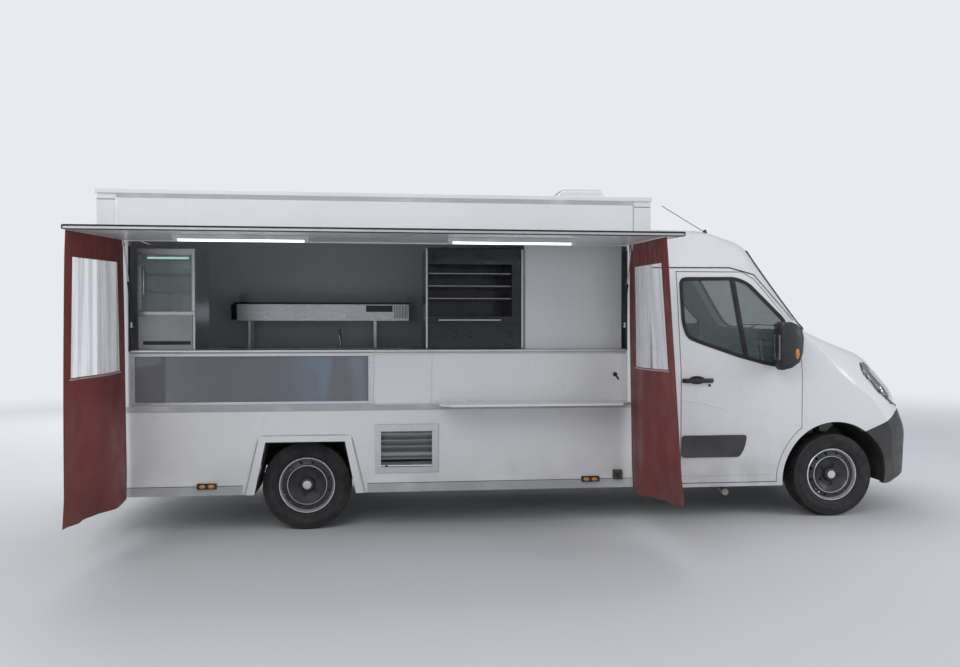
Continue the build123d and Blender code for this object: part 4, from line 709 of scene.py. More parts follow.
def wheel_masters():
    """The meshes that all four wheels share, as (name, mesh, material key)."""
    disc = turned(DISC_FRONT + [(r, y - DISC_T) for r, y in reversed(DISC_FRONT)] + DISC_FRONT[:1])
    holes, hub, cap = shapes(3)
    for at, _ in ring_of(VENT_HOLES, VENT_PCD_R, 0.02, 0.5):
        holes.lathe(VENT, at, steps=20)
    for at, _ in ring_of(BOLTS, BOLT_PCD_R, 0.052):
        hub.lathe(NUT, at, steps=6)
    hub.lathe(HUB)
    cap.lathe(CAP, steps=40)
    cap.tube(VALVE, 0.0032, 8)
    made = []
    for name, shape, key, angle in (
            ("tyre", tyre_shape(), "tyre", 28), ("rim", turned(RIM + RIM[:1]), "wheel", 28),
            ("disc", disc, "wheel_dark", 28), ("ring", turned(*BRIGHT_RINGS), "bright", 40),
            ("hub", hub, "wheel_dark", 30), ("cap", cap, "bright", 30)):
        obj = shape.make(f"{name}_master", MAT[key], None, angle)
        if name == "disc":
            cut(obj, holes.make("vents", MAT["wheel"]))
            smooth_below(obj.data, 30)
        made.append((name, obj.data, key))
        bpy.data.objects.remove(obj)
    return made


def wheels():
    """Tyre, rim, disc, rings, hub and cap of each wheel."""
    masters = wheel_masters()
    ends = (("front", AXLE_X, FRONT_SPIN), ("rear", -AXLE_X, 0.0))
    for (end, x, lead), (side, s) in itertools.product(ends, SIDES):
        turn = Matrix.Rotation(0.0 if s > 0 else math.pi, 4, "Z")
        spin = Matrix.Rotation((SIDE_SPIN if s > 0 else 0.0) + lead, 4, "Y")
        for name, mesh, key in masters:
            obj = bpy.data.objects.new(f"{name}_piece_{end}_{side}", mesh)
            bpy.context.scene.collection.objects.link(obj)
            obj.matrix_world = Matrix.Translation((x, s * WHEEL_Y, TYRE_R)) @ turn @ spin
            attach(obj, f"wheel_{end}_{side}")
            if name in ("tyre", "rim"):
                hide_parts(f"{name}_{end}_{side}")


# Curtains

CURTAIN_Y = (-1.150, -2.300)
FLAT = (1.15, 1.88)
FULL = (0, 1)
# Side, rail x at the inner and outer end, hem x and z at the outer and inner corner, window's y and z range
CURTAINS = [
    ("rear", (-3.492, -3.503), -3.543, -3.449, 0.345, 0.300, (-1.27, -2.18), (1.26, 2.05)),
    ("front", (0.366, 0.285), 0.428, 0.374, 0.388, 0.300, (-1.34, -2.14), (1.27, 2.04)),
]
CLOTH_T = 0.0016
PANE_T = 0.0006
BORDER_W = 0.016
RAIL_GAP = 0.002
MEAN_HEM_Z = 0.32


def rail_z(y):
    """Height of a curtain's rail under the open flap, at a distance from the hinge."""
    return HINGE.z + (y - HINGE.y) * math.tan(FLAP_DROOP) - RAIL_GAP


def mixed(pair, t):
    return pair[0] + (pair[1] - pair[0]) * t


def curtain_point(row, u, v, out):
    """A point of a hanging curtain: u from the inner to the outer edge, v from the top down."""
    name, x_rail, x_out, x_in, z_out, z_in, _, _ = row
    y = mixed(CURTAIN_Y, u)
    top = rail_z(y)
    sway = math.sin(2 * math.pi * (1.4 * u + 0.10 + 0.25 * v)) * 0.020 * v
    ripple = math.sin(2 * math.pi * (4.3 * u + 0.35 * v)) * 0.0065 * v * (0.4 + 0.6 * u)
    fold = math.sin(2 * math.pi * (9.0 * u + 0.2)) * 0.0035 * max(0.0, 1 - 3.0 * v) * min(1.0, 12 * v)
    hem_curl = 0.010 * math.sin(2 * math.pi * 2.1 * u + 1.0) * max(0.0, v - 0.9) * 10
    sag = 0.010 * math.sin(math.pi * u) * v
    x = mixed((mixed(x_rail, u), mixed((x_in, x_out), u)), v ** 1.2)
    x += (1.0 if name == "front" else -1.0) * (sway + ripple + fold + hem_curl + out)
    y += 0.012 * math.sin(math.pi * v) * (0.5 - u) * 2
    return Vector((x, y, mixed((top, mixed((z_in, z_out), u)), v) - sag))


def curtain_grid(shape, row, u_range, v_range, steps_u, steps_v, thick):
    """A thin double-faced cloth panel between two shares of the curtain each way."""
    verts, faces = [], []
    for out in (-thick / 2, thick / 2):
        for j, i in itertools.product(range(steps_v + 1), range(steps_u + 1)):
            verts.append(curtain_point(row, mixed(u_range, i / steps_u), mixed(v_range, j / steps_v), out))
    w = steps_u + 1
    layer = w * (steps_v + 1)
    for j, i in itertools.product(range(steps_v), range(steps_u)):
        a = j * w + i
        faces.append([a, a + 1, a + w + 1, a + w])
        faces.append([layer + a, layer + a + w, layer + a + w + 1, layer + a + 1])
    ring = list(range(w)) + [j * w + w - 1 for j in range(1, steps_v + 1)]
    ring += [steps_v * w + i for i in range(w - 2, -1, -1)] + [j * w for j in range(steps_v - 1, 0, -1)]
    for a, b in zip(ring, ring[1:] + ring[:1]):
        faces.append([a, b, layer + b, layer + a])
    shape.add(verts, faces)


def curtains():
    """Red tarpaulin side curtains with welded clear windows, hung from rails under the flap."""
    for row in CURTAINS:
        name, (y0, y1), (z0, z1) = row[0], row[6], row[7]
        u0, u1 = [(y - CURTAIN_Y[0]) / (CURTAIN_Y[1] - CURTAIN_Y[0]) for y in (y0, y1)]
        top = rail_z((y0 + y1) / 2)
        v0, v1 = [(top - z) / (top - MEAN_HEM_Z) for z in (z1, z0)]
        bu, bv = BORDER_W / FLAT[0], BORDER_W / FLAT[1]
        across, down = (u0 - bu / 2, u1 + bu / 2), (v0 - bv / 2, v1 + bv / 2)
        # Part, material, thickness, then panels: range of u and of v, steps each way
        parts = [
            ("", "tarp", CLOTH_T, [(FULL, (0, v0), 72, 12), (FULL, (v1, 1), 72, 64),
                                   ((0, u0), (v0, v1), 12, 40), ((u1, 1), (v0, v1), 12, 40)]),
            ("window_", "clear", PANE_T, [((u0, u1), (v0, v1), 60, 44)]),
            ("border_", "tarp", CLOTH_T + 0.0016, [
                (across, (v0 - bv / 2, v0 + bv / 2), 60, 2), (across, (v1 - bv / 2, v1 + bv / 2), 60, 2),
                ((u0 - bu / 2, u0 + bu / 2), down, 2, 44), ((u1 - bu / 2, u1 + bu / 2), down, 2, 44)]),
            ("weld_", "weld", CLOTH_T + 0.0030, [
                ((u0 - bu, u1 + bu), (v1 - bv * 0.1, v1 + bv * 0.5), 60, 2)]),
            ("hem_", "tarp", CLOTH_T + 0.0020, [(FULL, (0.984, 1), 72, 2), ((0.975, 1), FULL, 2, 90),
                                                ((0, 0.025), FULL, 2, 90)]),
        ]
        pieces = []
        for part, key, thick, panels in parts:
            cloth = Shape()
            for panel in panels:
                curtain_grid(cloth, row, *panel, thick)
            pieces.append(cloth.piece(f"curtain_{part}{name}", key, "flap", 60))
        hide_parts("curtains")
        for piece in pieces:
            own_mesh(piece)


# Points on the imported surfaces

TREES = {}
# Short steps aside for a ray that slips through the gap round a pane
STEPS_ASIDE = [(0.0, 0.0), (0.003, 0.0), (-0.003, 0.0), (0.0, 0.003), (0.0, -0.003), (0.007, 0.007),
               (-0.007, -0.007), (0.007, -0.007), (-0.007, 0.007)]
# Start of a ray, least reach of a hit, and how much its normal must lean outwards
SIDE_RAY = (3.0, 0.55, 0.5)
FRONT_RAY = (5.0, 1.35, 0.25)
FRONT_LEAN = Vector((0.8, 0.0, 0.6))


def tree(names):
    """One search tree over the meshes of some CAD nodes."""
    if names not in TREES:
        shape = Shape()
        for mesh in (NODES[name].data for name in names):
            shape.add([v.co for v in mesh.vertices], [list(p.vertices) for p in mesh.polygons])
        TREES[names] = BVHTree.FromPolygons(shape.verts, shape.faces)
    return TREES[names]


def outer_point(names, at, out, lift, ray, steep):
    """Where a ray against out first meets the nodes: the point, lifted, and its normal.

    The normal steep stands in for one that leans outwards too little."""
    start, inner, least = ray
    a, b = [axis for axis in range(3) if not out[axis]]
    found = []
    for da, db in STEPS_ASIDE:
        origin = at + out * start
        origin[a] += da
        origin[b] += db
        hit, normal = tree(names).ray_cast(origin, -out)[:2]
        if hit is not None and hit.dot(out) > inner:
            found.append((hit.dot(out), normal))
    if not found:
        return None, out
    reach, normal = max(found, key=lambda pair: pair[0])
    if normal.dot(out) < least:
        normal = steep
    return at + out * reach + normal * lift, normal


def side_point(names, s, x, z, lift=0.0):
    """A point on the side s of the cab."""
    return outer_point(names, Vector((x, 0.0, z)), Vector((0.0, s, 0.0)), lift, SIDE_RAY,
                       Vector((0.0, s, 0.12)).normalized())


def front_point(names, y, z, lift=0.0):
    """A point on the front of the cab."""
    return outer_point(names, Vector((0.0, y, z)), Vector(X_AXIS), lift, FRONT_RAY, FRONT_LEAN)


def spaced(points, step, closed=False):
    """Points along a run of straight lines, no further apart than a step."""
    ends = [Vector(p) for p in (points + points[:1] if closed else points)]
    result = []
    for a, b in zip(ends, ends[1:]):
        count = max(1, math.ceil((b - a).length / step))
        result.extend(a.lerp(b, k / count) for k in range(count))
    return result if closed else result + ends[-1:]


def strip_section(width, height):
    """A low strip with chamfered edges, as (out, across) pairs."""
    half = width / 2
    return [(-0.002, -half), (height * 0.55, -half), (height, -half * 0.6), (height, half * 0.6),
            (height * 0.55, half), (-0.002, half)]


def strip(shape, found, width, height, closed=False):
    """Sweep a low strip through the (point, normal) pairs that were met."""
    found = [pair for pair in found if pair[0] is not None]
    if len(found) > 2:
        path, normals = zip(*found)
        shape.sweep(strip_section(width, height), path, normals, closed)


def side_strip(shape, names, s, outline, width, height, closed=False, lift=0.0, step=0.03):
    """Lay a strip on the side of the cab along an outline in x and z."""
    found = [side_point(names, s, p.x, p.y, lift) for p in spaced(outline, step, closed)]
    strip(shape, found, width, height, closed)


def side_plate(shape, names, s, outline, height, lift=0.0005):
    """A thin plate that follows the side of the cab inside an outline in x and z."""
    outer, inner = [], []
    for p in spaced(outline, 0.06, True):
        at, normal = side_point(names, s, p.x, p.y, lift)
        if at is None:
            at = outer[-1] - normal * height
        outer.append(at + normal * height)
        inner.append(at - normal * 0.003)
    shape.skin([inner, outer])


# Cab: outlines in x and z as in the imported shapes

WINDOW = [(0.868, 1.980), (1.335, 1.985), (1.440, 1.945), (1.735, 1.640), (1.745, 1.560), (1.690, 1.264),
          (1.560, 1.284), (1.330, 1.348), (1.000, 1.462), (0.905, 1.502), (0.872, 1.620)]
WINDOW_BAR = [(1.313, 1.975), (1.390, 1.330)]
MIRROR_FOOT = [(1.640, 1.276), (1.688, 1.268), (1.742, 1.562), (1.732, 1.636), (1.655, 1.610)]
GUTTER = [(0.640, 2.075), (1.300, 2.078), (1.500, 2.020), (1.690, 1.815), (1.842, 1.640)]
SWAGE = [(0.845, 0.992), (1.000, 0.968), (1.240, 0.905)]
SILL_LINE = [(0.850, 0.372), (1.620, 0.372)]
MOULDING = [(0.840, 0.520), (1.330, 0.520), (1.372, 0.600), (1.392, 0.700), (0.840, 0.700)]
LAMP_EDGE = [(2.470, 1.262), (2.462, 1.205), (2.575, 1.055), (2.705, 0.948), (2.800, 0.912)]
HANDLE_X = (0.848, 1.096)
HANDLE_Z = 1.147
# Half outline of the windscreen, in y and z
SCREEN = [(0.0, 1.545), (0.500, 1.552), (0.770, 1.585), (0.800, 1.625), (0.705, 2.160), (0.660, 2.228),
          (0.350, 2.262), (0.0, 2.272)]
# Mirror housing from its foot up. Columns: z, x at the back, x at the front, share of its width
MIRROR = [(1.238, 1.606, 1.640, 0.45), (1.256, 1.594, 1.705, 0.78), (1.300, 1.587, 1.768, 0.96),
          (1.380, 1.585, 1.796, 1.0), (1.500, 1.585, 1.802, 1.0), (1.570, 1.589, 1.784, 0.96),
          (1.606, 1.606, 1.742, 0.80), (1.624, 1.634, 1.702, 0.45)]
MIRROR_Y = 1.160
MIRROR_HALF_W = 0.080
MIRROR_ARM = [(1.660, 1.095, 1.292), (1.700, 1.040, 1.292), (1.712, 0.985, 1.296)]
LENS = [(0.0001, 0.011), (0.40, 0.009), (0.75, 0.004), (1.0, -0.004)]
CUP = [(0.0001, 0.0), (0.92, 0.0), (1.0, -0.002)]
LOCK = [(0.0001, 0.004), (0.009, 0.004), (0.011, 0.002), (0.011, -0.002)]
# Bowls of a headlamp. Columns: x, z, radius, depth behind the lens
BOWLS = [(2.590, 1.145, 0.054, 0.036), (2.715, 1.045, 0.050, 0.034), (2.525, 1.220, 0.024, 0.024),
         (2.800, 0.965, 0.030, 0.026)]
# Grid of points on the lens for its dark backing: first x and z, step, widest face
BACKING_AT = (2.455, 0.890)
BACKING_STEP = 0.020
BACKING_COUNT = (24, 19)
BACKING_FACE = 0.11
BACKING_DEPTH = 0.082
# Wipers in y and z. Columns: pivot, start and end of the blade
WIPERS = [((0.52, 1.562), (0.66, 1.600), (0.02, 1.588)), ((-0.06, 1.560), (-0.02, 1.622), (-0.60, 1.600))]
WIPER_PIVOT = [(0.016, -0.016), (0.016, 0.006), (0.010, 0.012), (0.0001, 0.012)]
GRILLE_ZS = (0.905, 0.950, 0.995, 1.040)
GRILLE_HALF_W = 0.48
EXHAUST = [(1.85, -0.22, 0.300), (1.50, -0.40, 0.275), (1.33, -0.56, 0.250), (1.27, -0.72, 0.225),
           (1.25, -0.93, 0.212)]


def mirror_housing(s):
    """Rounded mirror housing, lofted upwards, with its arm."""
    steps = 28
    rows = []
    for z, back, front, share in MIRROR:
        row = []
        for k in range(steps):
            c, d = math.cos(step_angle(k, steps)), math.sin(step_angle(k, steps))
            power = 0.75 if c > 0 else 0.35
            x = (back + front) / 2 + (front - back) / 2 * math.copysign(abs(c) ** power, c)
            row.append((x, s * (MIRROR_Y + MIRROR_HALF_W * share * math.copysign(abs(d) ** 0.7, d)), z))
        rows.append(row)
    shape = Shape()
    shape.skin(rows)
    shape.tube([(x, s * y, z) for x, y, z in MIRROR_ARM], 0.034, 16, 0.9)
    return shape


def door_fittings(side, s):
    """Mirror, handle, moulding and rubbers of one cab door."""
    body = f"cab_door_{side}"
    names = (f"door_{side}", f"door_glass_{side}")
    glass, blinker, foot, moulding, handle, cup, rubber_run, crease = shapes(8)
    housing = mirror_housing(s).piece(f"mirror_{side}", "black", body, 50)
    soften(housing, 0.010, 3, 40)
    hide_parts(f"door_trim_{side}")
    glass.block((1.5862, s * (MIRROR_Y - 0.050), 1.316), (1.5920, s * (MIRROR_Y + 0.050), 1.520))
    glass.piece(f"mirror_glass_{side}", "mirror", body)
    blinker.button(LENS, (1.722, s * 1.238, 1.372), 0.020, 0.046, s)
    blinker.piece(f"mirror_indicator_{side}", "amber", body, 60)
    side_plate(foot, names, s, MIRROR_FOOT, 0.009)
    foot.piece(f"mirror_foot_{side}", "black", body)
    side_plate(moulding, names, s, rounded_outline(MOULDING, 0.030), 0.012)
    soften(moulding.piece(f"moulding_{side}", "black", body), 0.004, 3)

    path = []
    for t in (k / 24 for k in range(25)):
        at, normal = side_point(names, s, mixed(HANDLE_X, t), HANDLE_Z)
        path.append(at + normal * (0.030 * min(1.0, 5.0 * min(t, 1 - t)) ** 0.6 + 0.002))
    handle.tube(path, 0.018, 16, 0.62, (0, s, 0))
    handle.lathe(LOCK, *side_point(names, s, 1.072, HANDLE_Z - 0.040), 20)
    handle.piece(f"handle_{side}", "black", body, 60)
    # A near-black cup behind the handle: painted shade in the thumb recess
    at, _ = side_point(names, s, 0.965, HANDLE_Z + 0.004)
    cup.button(CUP, at + Vector((0.0, s * 0.0025, 0.0)), 0.070, 0.034, s, 32)
    cup.piece(f"handle_recess_shade_{side}", "shade", body, 60)

    side_strip(rubber_run, names, s, rounded_outline(WINDOW, 0.05, 5), 0.030, 0.006, True, 0.0005, 0.02)
    side_strip(rubber_run, names, s, WINDOW_BAR, 0.040, 0.005)
    rubber_run.piece(f"window_rubber_{side}", "seal", body, 50)
    side_strip(crease, names, s, SWAGE, 0.016, 0.003)
    side_strip(crease, names, s, SILL_LINE, 0.012, 0.003)
    crease.piece(f"door_creases_{side}", "white", body, 50)


def reflector(shape, at, axis, radius):
    """A headlamp bowl with its bulb shield."""
    bowl = [(0.45, -0.044), (0.8, -0.022), (1.0, 0.0), (1.06, 0.0), (1.06, -0.006)]
    shape.lathe([(0.008, -0.052)] + [(radius * r, h) for r, h in bowl], at, axis, 32)
    shield = [(0.0001, -0.008), (radius * 0.22, -0.012), (radius * 0.26, -0.030), (0.0001, -0.050)]
    shape.lathe(shield, at, axis, 20)


def lamp_backing(s):
    """Dark inner face of a headlamp, parallel to its lens and a little behind it."""
    (x0, z0), (count_x, count_z) = BACKING_AT, BACKING_COUNT
    points = {}
    for i, j in itertools.product(range(count_x), range(count_z)):
        at, normal = side_point(("headlamps",), s, x0 + BACKING_STEP * i, z0 + BACKING_STEP * j)
        if at is not None:
            points[i, j] = at - normal * BACKING_DEPTH
    order = {key: n for n, key in enumerate(points)}
    faces = []
    for i, j in points:
        corners = [(i, j), (i + 1, j), (i + 1, j + 1), (i, j + 1)]
        if all(key in points for key in corners):
            if max((points[a] - points[b]).length for a in corners for b in corners) < BACKING_FACE:
                faces.append([order[key] for key in corners])
    shape = Shape()
    shape.add(list(points.values()), faces)
    return shape


def cab_sides():
    """Doors, roof seams and headlamps."""
    for side, s in SIDES:
        door_fittings(side, s)
        seam, bowls, edge = shapes(3)
        side_strip(seam, ("cab_body",), s, GUTTER, 0.009, 0.002)
        seam.piece(f"roof_seam_{side}", "seal", angle=50)
        for x, z, radius, depth in BOWLS:
            at, normal = side_point(("headlamps",), s, x, z)
            reflector(bowls, at - normal * depth, normal + Vector((0.45, 0.0, 0.0)), radius)
        bowls.piece(f"headlamp_bowls_{side}", "chrome", angle=40)
        lamp_backing(s).piece(f"headlamp_backing_{side}", "bezel", angle=60)
        side_strip(edge, ("headlamps", "cab_body", "bonnet"), s, LAMP_EDGE, 0.010, 0.003)
        edge.piece(f"headlamp_edge_{side}", "seal", angle=50)


def cab_front():
    """Windscreen rubber, wipers, grille bars, blank plate and exhaust tail."""
    screen, wipers, bars, plate, pipe = shapes(5)
    outline = rounded_outline(SCREEN + [(-y, z) for y, z in reversed(SCREEN[1:-1])], 0.06)
    found = [front_point(("windscreen", "cab_body"), p.x, p.y, 0.0005) for p in spaced(outline, 0.03, True)]
    strip(screen, found, 0.030, 0.005, True)
    screen.piece("windscreen_rubber", "seal", angle=50)

    for pivot, start, end in WIPERS:
        at, normal = front_point(("windscreen",), *pivot, 0.018)
        a, b = [front_point(("windscreen",), *place, 0.010)[0] for place in (start, end)]
        middle = (a + b) / 2 + Vector((0.012, 0.0, 0.012))
        blade = [a.lerp(b, k / 12) + normal * 0.006 * math.sin(math.pi * k / 12) for k in range(13)]
        wipers.lathe(WIPER_PIVOT, at, normal, 16)
        wipers.tube([at, at.lerp(middle, 0.5) + normal * 0.010, middle], 0.006)
        wipers.tube(blade, 0.008, 8, 0.6)
    wipers.piece("wipers", "black", angle=50)

    for z in GRILLE_ZS:
        ys = [GRILLE_HALF_W * (k / 12 - 1) for k in range(25)]
        strip(bars, [front_point(("front_bumper", "bonnet"), y, z, 0.001) for y in ys], 0.008, 0.004)
    bars.piece("grille_bars", "bright", angle=50)
    at, _ = front_point(("front_bumper",), 0.0, 0.480)
    plate.block(at + Vector((0.001, -0.260, -0.055)), at + Vector((0.010, 0.260, 0.055)), 0.003)
    plate.piece("front_plate_blank", "grey")
    pipe.tube(EXHAUST, 0.027, 18)
    pipe.piece("exhaust_tail", "iron_pale", angle=60)


# Box: plates, rails and lamps on its sides

POST_REAR_X = (-3.690, -3.550)
POST_FRONT_X = (0.410, 0.550)
FACE_Y = 1.114
WALL_Y = 1.100
PANEL_Y = 1.068
PANEL_FACE_Y = -1.0765
SKIRT_TOP_Z = 0.374
LAMP_XS = (-2.900, 0.062)
LAMP_Z = 0.378
MARKER = [(0.0001, 0.008), (0.45, 0.007), (0.8, 0.004), (1.0, -0.004)]
RIVET = [(0.0060, -0.001), (0.0058, 0.0012), (0.0040, 0.0028), (0.0001, 0.0034)]
ARCH_X = -2.166
ARCH_HALF_W = 0.47
# Bead and liner of the rear arch, in x and z
ARCH_BEAD = [(ARCH_X + x, z) for x, z in ((-0.456, SKIRT_Z), (-0.350, 0.754), (0.350, 0.754),
                                          (0.456, SKIRT_Z))]
ARCH_LINER = [(ARCH_X + x, z) for x, z in ((-0.384, 0.310), (-0.292, 0.697), (0.292, 0.697), (0.384, 0.310))]
LINER_T = 0.003
CAB_ARCH_R = 0.4475
# Lever of the latch on the panel over the shelf, and its round foot
LATCH = [(0.262, -1.084, 1.222), (0.281, -1.086, 1.194), (0.300, -1.084, 1.165)]
LATCH_FOOT = [(0.018, 0.0), (0.017, 0.010), (0.0001, 0.012)]
LATCH_FLAT = 0.24


def cab_arch(radius, start, end, steps=32):
    """Points of the cab's wheel arch between two angles in degrees."""
    angles = [math.radians(start + (end - start) * k / steps) for k in range(steps + 1)]
    return [(AXLE_X + radius * math.cos(a), TYRE_R + radius * math.sin(a)) for a in angles]


def wheel_liners():
    """Black liners inside the four wheel arches, drawn near-black as painted shade in the arches."""
    shape = Shape()
    thin = [(x + (LINER_T if x < ARCH_X else -LINER_T), z - (LINER_T if z > 0.5 else 0.0))
            for x, z in ARCH_LINER]
    arch = cab_arch(CAB_ARCH_R, -8, 188) + cab_arch(CAB_ARCH_R - LINER_T, 188, -8)
    for s in (-1, 1):
        inner = s * 0.700
        shape.extrude(ARCH_LINER + thin[::-1], inner, s * 1.090)
        shape.block((ARCH_X - 0.34, inner - 0.002 * s, 0.470), (ARCH_X + 0.34, inner, 0.698), 0.0005)
        shape.extrude(arch, s * 0.524, s * 0.985)
    shape.piece("arch_liners", "shade", angle=40)


def box_side(s, grey, bright, dark, amber, red, clear):
    """Fascia band in grey as a painted shadow under the roof trim, corner beads in bright aluminium as a
    painted highlight, skirt rails, rivets and lamps of one side.
    """
    face, wall, outer = s * (FACE_Y - 0.004), s * (WALL_Y - 0.002), s * (FACE_Y + 0.004)
    # Grey strip under the roof trim: painted shadow of the recess beneath the trim
    grey.block((POST_REAR_X[1], face, 2.552), (POST_FRONT_X[0], s * (FACE_Y + 0.0030), 2.585), 0.001)
    # Bright aluminium beads along the corner caps: a painted highlight line
    for x in (POST_REAR_X[1] - 0.004, POST_FRONT_X[0] - 0.004):
        bright.block((x, face, 2.345), (x + 0.008, outer, 2.552), 0.001)
    for x0, x1 in (POST_REAR_X, POST_FRONT_X):
        dark.block((x0 + 0.004, face, 2.536), (x1 - 0.004, s * (FACE_Y + 0.001), 2.541), 0.0005)
        for k in range(8):
            grey.lathe(RIVET, ((x0 + x1) / 2, s * FACE_Y, 0.420 + k * 0.27), (0, s, 0), 12)
    for x0, x1 in ((POST_REAR_X[1], ARCH_X - ARCH_HALF_W), (ARCH_X + ARCH_HALF_W, POST_FRONT_X[0])):
        grey.block((x0, wall, SKIRT_Z + 0.002), (x1, s * (WALL_Y + 0.0035), SKIRT_TOP_Z), 0.0012)
        dark.block((x0, wall, SKIRT_TOP_Z), (x1, s * (WALL_Y + 0.0015), SKIRT_TOP_Z + 0.004), 0.0005)
    for x, way in itertools.product(LAMP_XS, (-1, 1)):
        amber.button(MARKER, (x + way * 0.033, s * 1.120, LAMP_Z), 0.027, 0.0165, s)
    bead = ARCH_BEAD[:1] + rounded_outline(ARCH_BEAD, 0.05, 5)[6:-6] + ARCH_BEAD[3:]
    out = Vector((0, s, 0))
    strip(grey, [(Vector((x, s * WALL_Y, z)), out) for x, z in bead], 0.008, 0.004)
    for x in (POST_REAR_X[1] + 0.12 + k * 0.232 for k in range(17)):
        if abs(x - ARCH_X) > 0.50:
            grey.lathe(RIVET, (x, s * (WALL_Y + 0.003), 0.352), (0, s, 0), 12)
    for z0, part in ((0.715, red), (0.600, amber), (0.485, clear)):
        part.block((-3.734, s * 0.912, z0), (-3.722, s * 1.028, z0 + 0.100), 0.004)


def box_trim():
    """Trim of both sides, seals and frames of the hatch, and the shelf's latch."""
    grey, bright, dark, amber, red, clear, latch = shapes(7)
    for s in (-1, 1):
        box_side(s, grey, bright, dark, amber, red, clear)
    dark.block((POST_REAR_X[1], -FACE_Y - 0.003, 2.322), (POST_FRONT_X[0], -FACE_Y + 0.004, 2.342), 0.001)
    for x0 in (HATCH_X[0] - 0.002, HATCH_X[1] - 0.012):
        dark.block((x0, -1.1005, 1.400), (x0 + 0.014, -1.085, 2.195))
    # Frame of the display glass and rails over and under the counter's panels
    for x0, x1, z0, z1 in ((-3.470, -1.640, 1.360, 1.384), (-3.470, -1.640, 0.990, 1.013),
                           (-3.470, -3.436, 1.013, 1.360), (-1.688, -1.646, 1.013, 1.360)):
        bright.block((x0, -PANEL_Y - 0.006, z0), (x1, -PANEL_Y + 0.002, z1), 0.0015)
    bright.block((-1.640, -PANEL_Y - 0.004, 1.372), (HATCH_X[1], -PANEL_Y + 0.002, 1.384), 0.0012)
    grey.block((HATCH_X[0] - 0.06, -1.109, 0.944), (HATCH_X[1] + 0.03, -1.104, 0.984), 0.001)
    # Outer corner of the louvre's frame
    bright.block((-1.634, -1.1125, 0.776), (-1.146, -1.1085, 0.830), 0.001)
    bright.block((-1.196, -1.1125, 0.458), (-1.148, -1.1085, 0.776), 0.001)
    latch.tube(LATCH, 0.007, 14)
    latch.lathe(LATCH_FOOT, (0.272, PANEL_FACE_Y, 1.205), (0, -1, 0), 24)
    for v in latch.verts:
        v.y = mixed((PANEL_FACE_Y, v.y), LATCH_FLAT)
    latch.piece("shelf_latch", "black", angle=50)
    grey.piece("box_rails_and_painted_shadow_band", "rail")
    bright.piece("box_bright_trim", "alu")
    dark.piece("box_seals", "seal")
    amber.piece("marker_lenses", "amber", angle=60)
    red.piece("stop_lenses", "red")
    clear.piece("reverse_lenses", "lamp")


def flap_at(x, out, up):
    """A point of the open flap: out from its hinge line and up from its lower face."""
    return Vector((x, HINGE.y - out * math.cos(FLAP_DROOP) - up * math.sin(FLAP_DROOP),
                   HINGE.z - out * math.sin(FLAP_DROOP) + up * math.cos(FLAP_DROOP)))


def flap_bar(shape, x0, x1, out0, out1, up0, up1, bevel=0.0012):
    """A bar in the flap's own directions."""
    middle = flap_at((x0 + x1) / 2, (out0 + out1) / 2, (up0 + up1) / 2)
    half = Vector(((x1 - x0) / 2, (out1 - out0) / 2, (up1 - up0) / 2))
    shape.block(middle - half, middle + half, bevel, Matrix.Rotation(FLAP_DROOP, 3, "X"))


def flap_trim():
    """Edge profile, seals and lit tubes of the flap."""
    x0, x1 = FLAP_X
    end = FLAP_REACH
    bright, dark, tube, ends = shapes(4)
    flap_bar(bright, x0 + 0.004, x1 - 0.004, end - 0.002, end + 0.003, 0.005, 0.020)
    flap_bar(dark, x0 + 0.002, x1 - 0.002, end - 0.003, end + 0.004, 0.020, 0.031)
    flap_bar(dark, x0 + 0.002, x1 - 0.002, end - 0.020, end + 0.002, -0.0008, 0.005)
    for x, way in ((x0, 1), (x1, -1)):
        a, b = sorted((x, x - way * 0.006))
        flap_bar(dark, a, b, 0.06, end + 0.004, 0.001, 0.029)
        a, b = sorted((x, x + way * 0.030))
        flap_bar(bright, a, b, 0.06, end - 0.02, -0.0008, 0.001)
    for lamp_x0, lamp_x1 in ((-2.970, -2.070), (-1.130, -0.230)):
        tube.tube([flap_at(x, 0.765, -0.030) for x in (lamp_x0 + 0.035, lamp_x1 - 0.035)], 0.013, 20)
        for x in (lamp_x0 + 0.004, lamp_x1 - 0.034):
            flap_bar(ends, x, x + 0.030, 0.745, 0.785, -0.045, -0.026, 0.003)
    bright.piece("flap_profile", "alu", "flap")
    dark.piece("flap_seals", "seal", "flap")
    tube.piece("lamp_tubes", "tube", "flap", 60)
    ends.piece("lamp_ends", "grey", "flap")


# Kitchen: x range and face y of each unit

FRIDGE_X, FRIDGE_Y = (-3.440, -3.012), -0.950
OVEN_X, OVEN_Y = (-1.236, -0.452), -0.940
CHILLER_X, CHILLER_Y = (-2.960, -1.320), 0.650
TAP_X, TAP_Y = -1.980, 0.585
TAP = [(0.026, 0.0), (0.026, 0.010), (0.014, 0.018), (0.013, 0.110), (0.0001, 0.112)]
KNOB = [(0.022, 0.0), (0.021, 0.016), (0.017, 0.019), (0.0001, 0.019)]


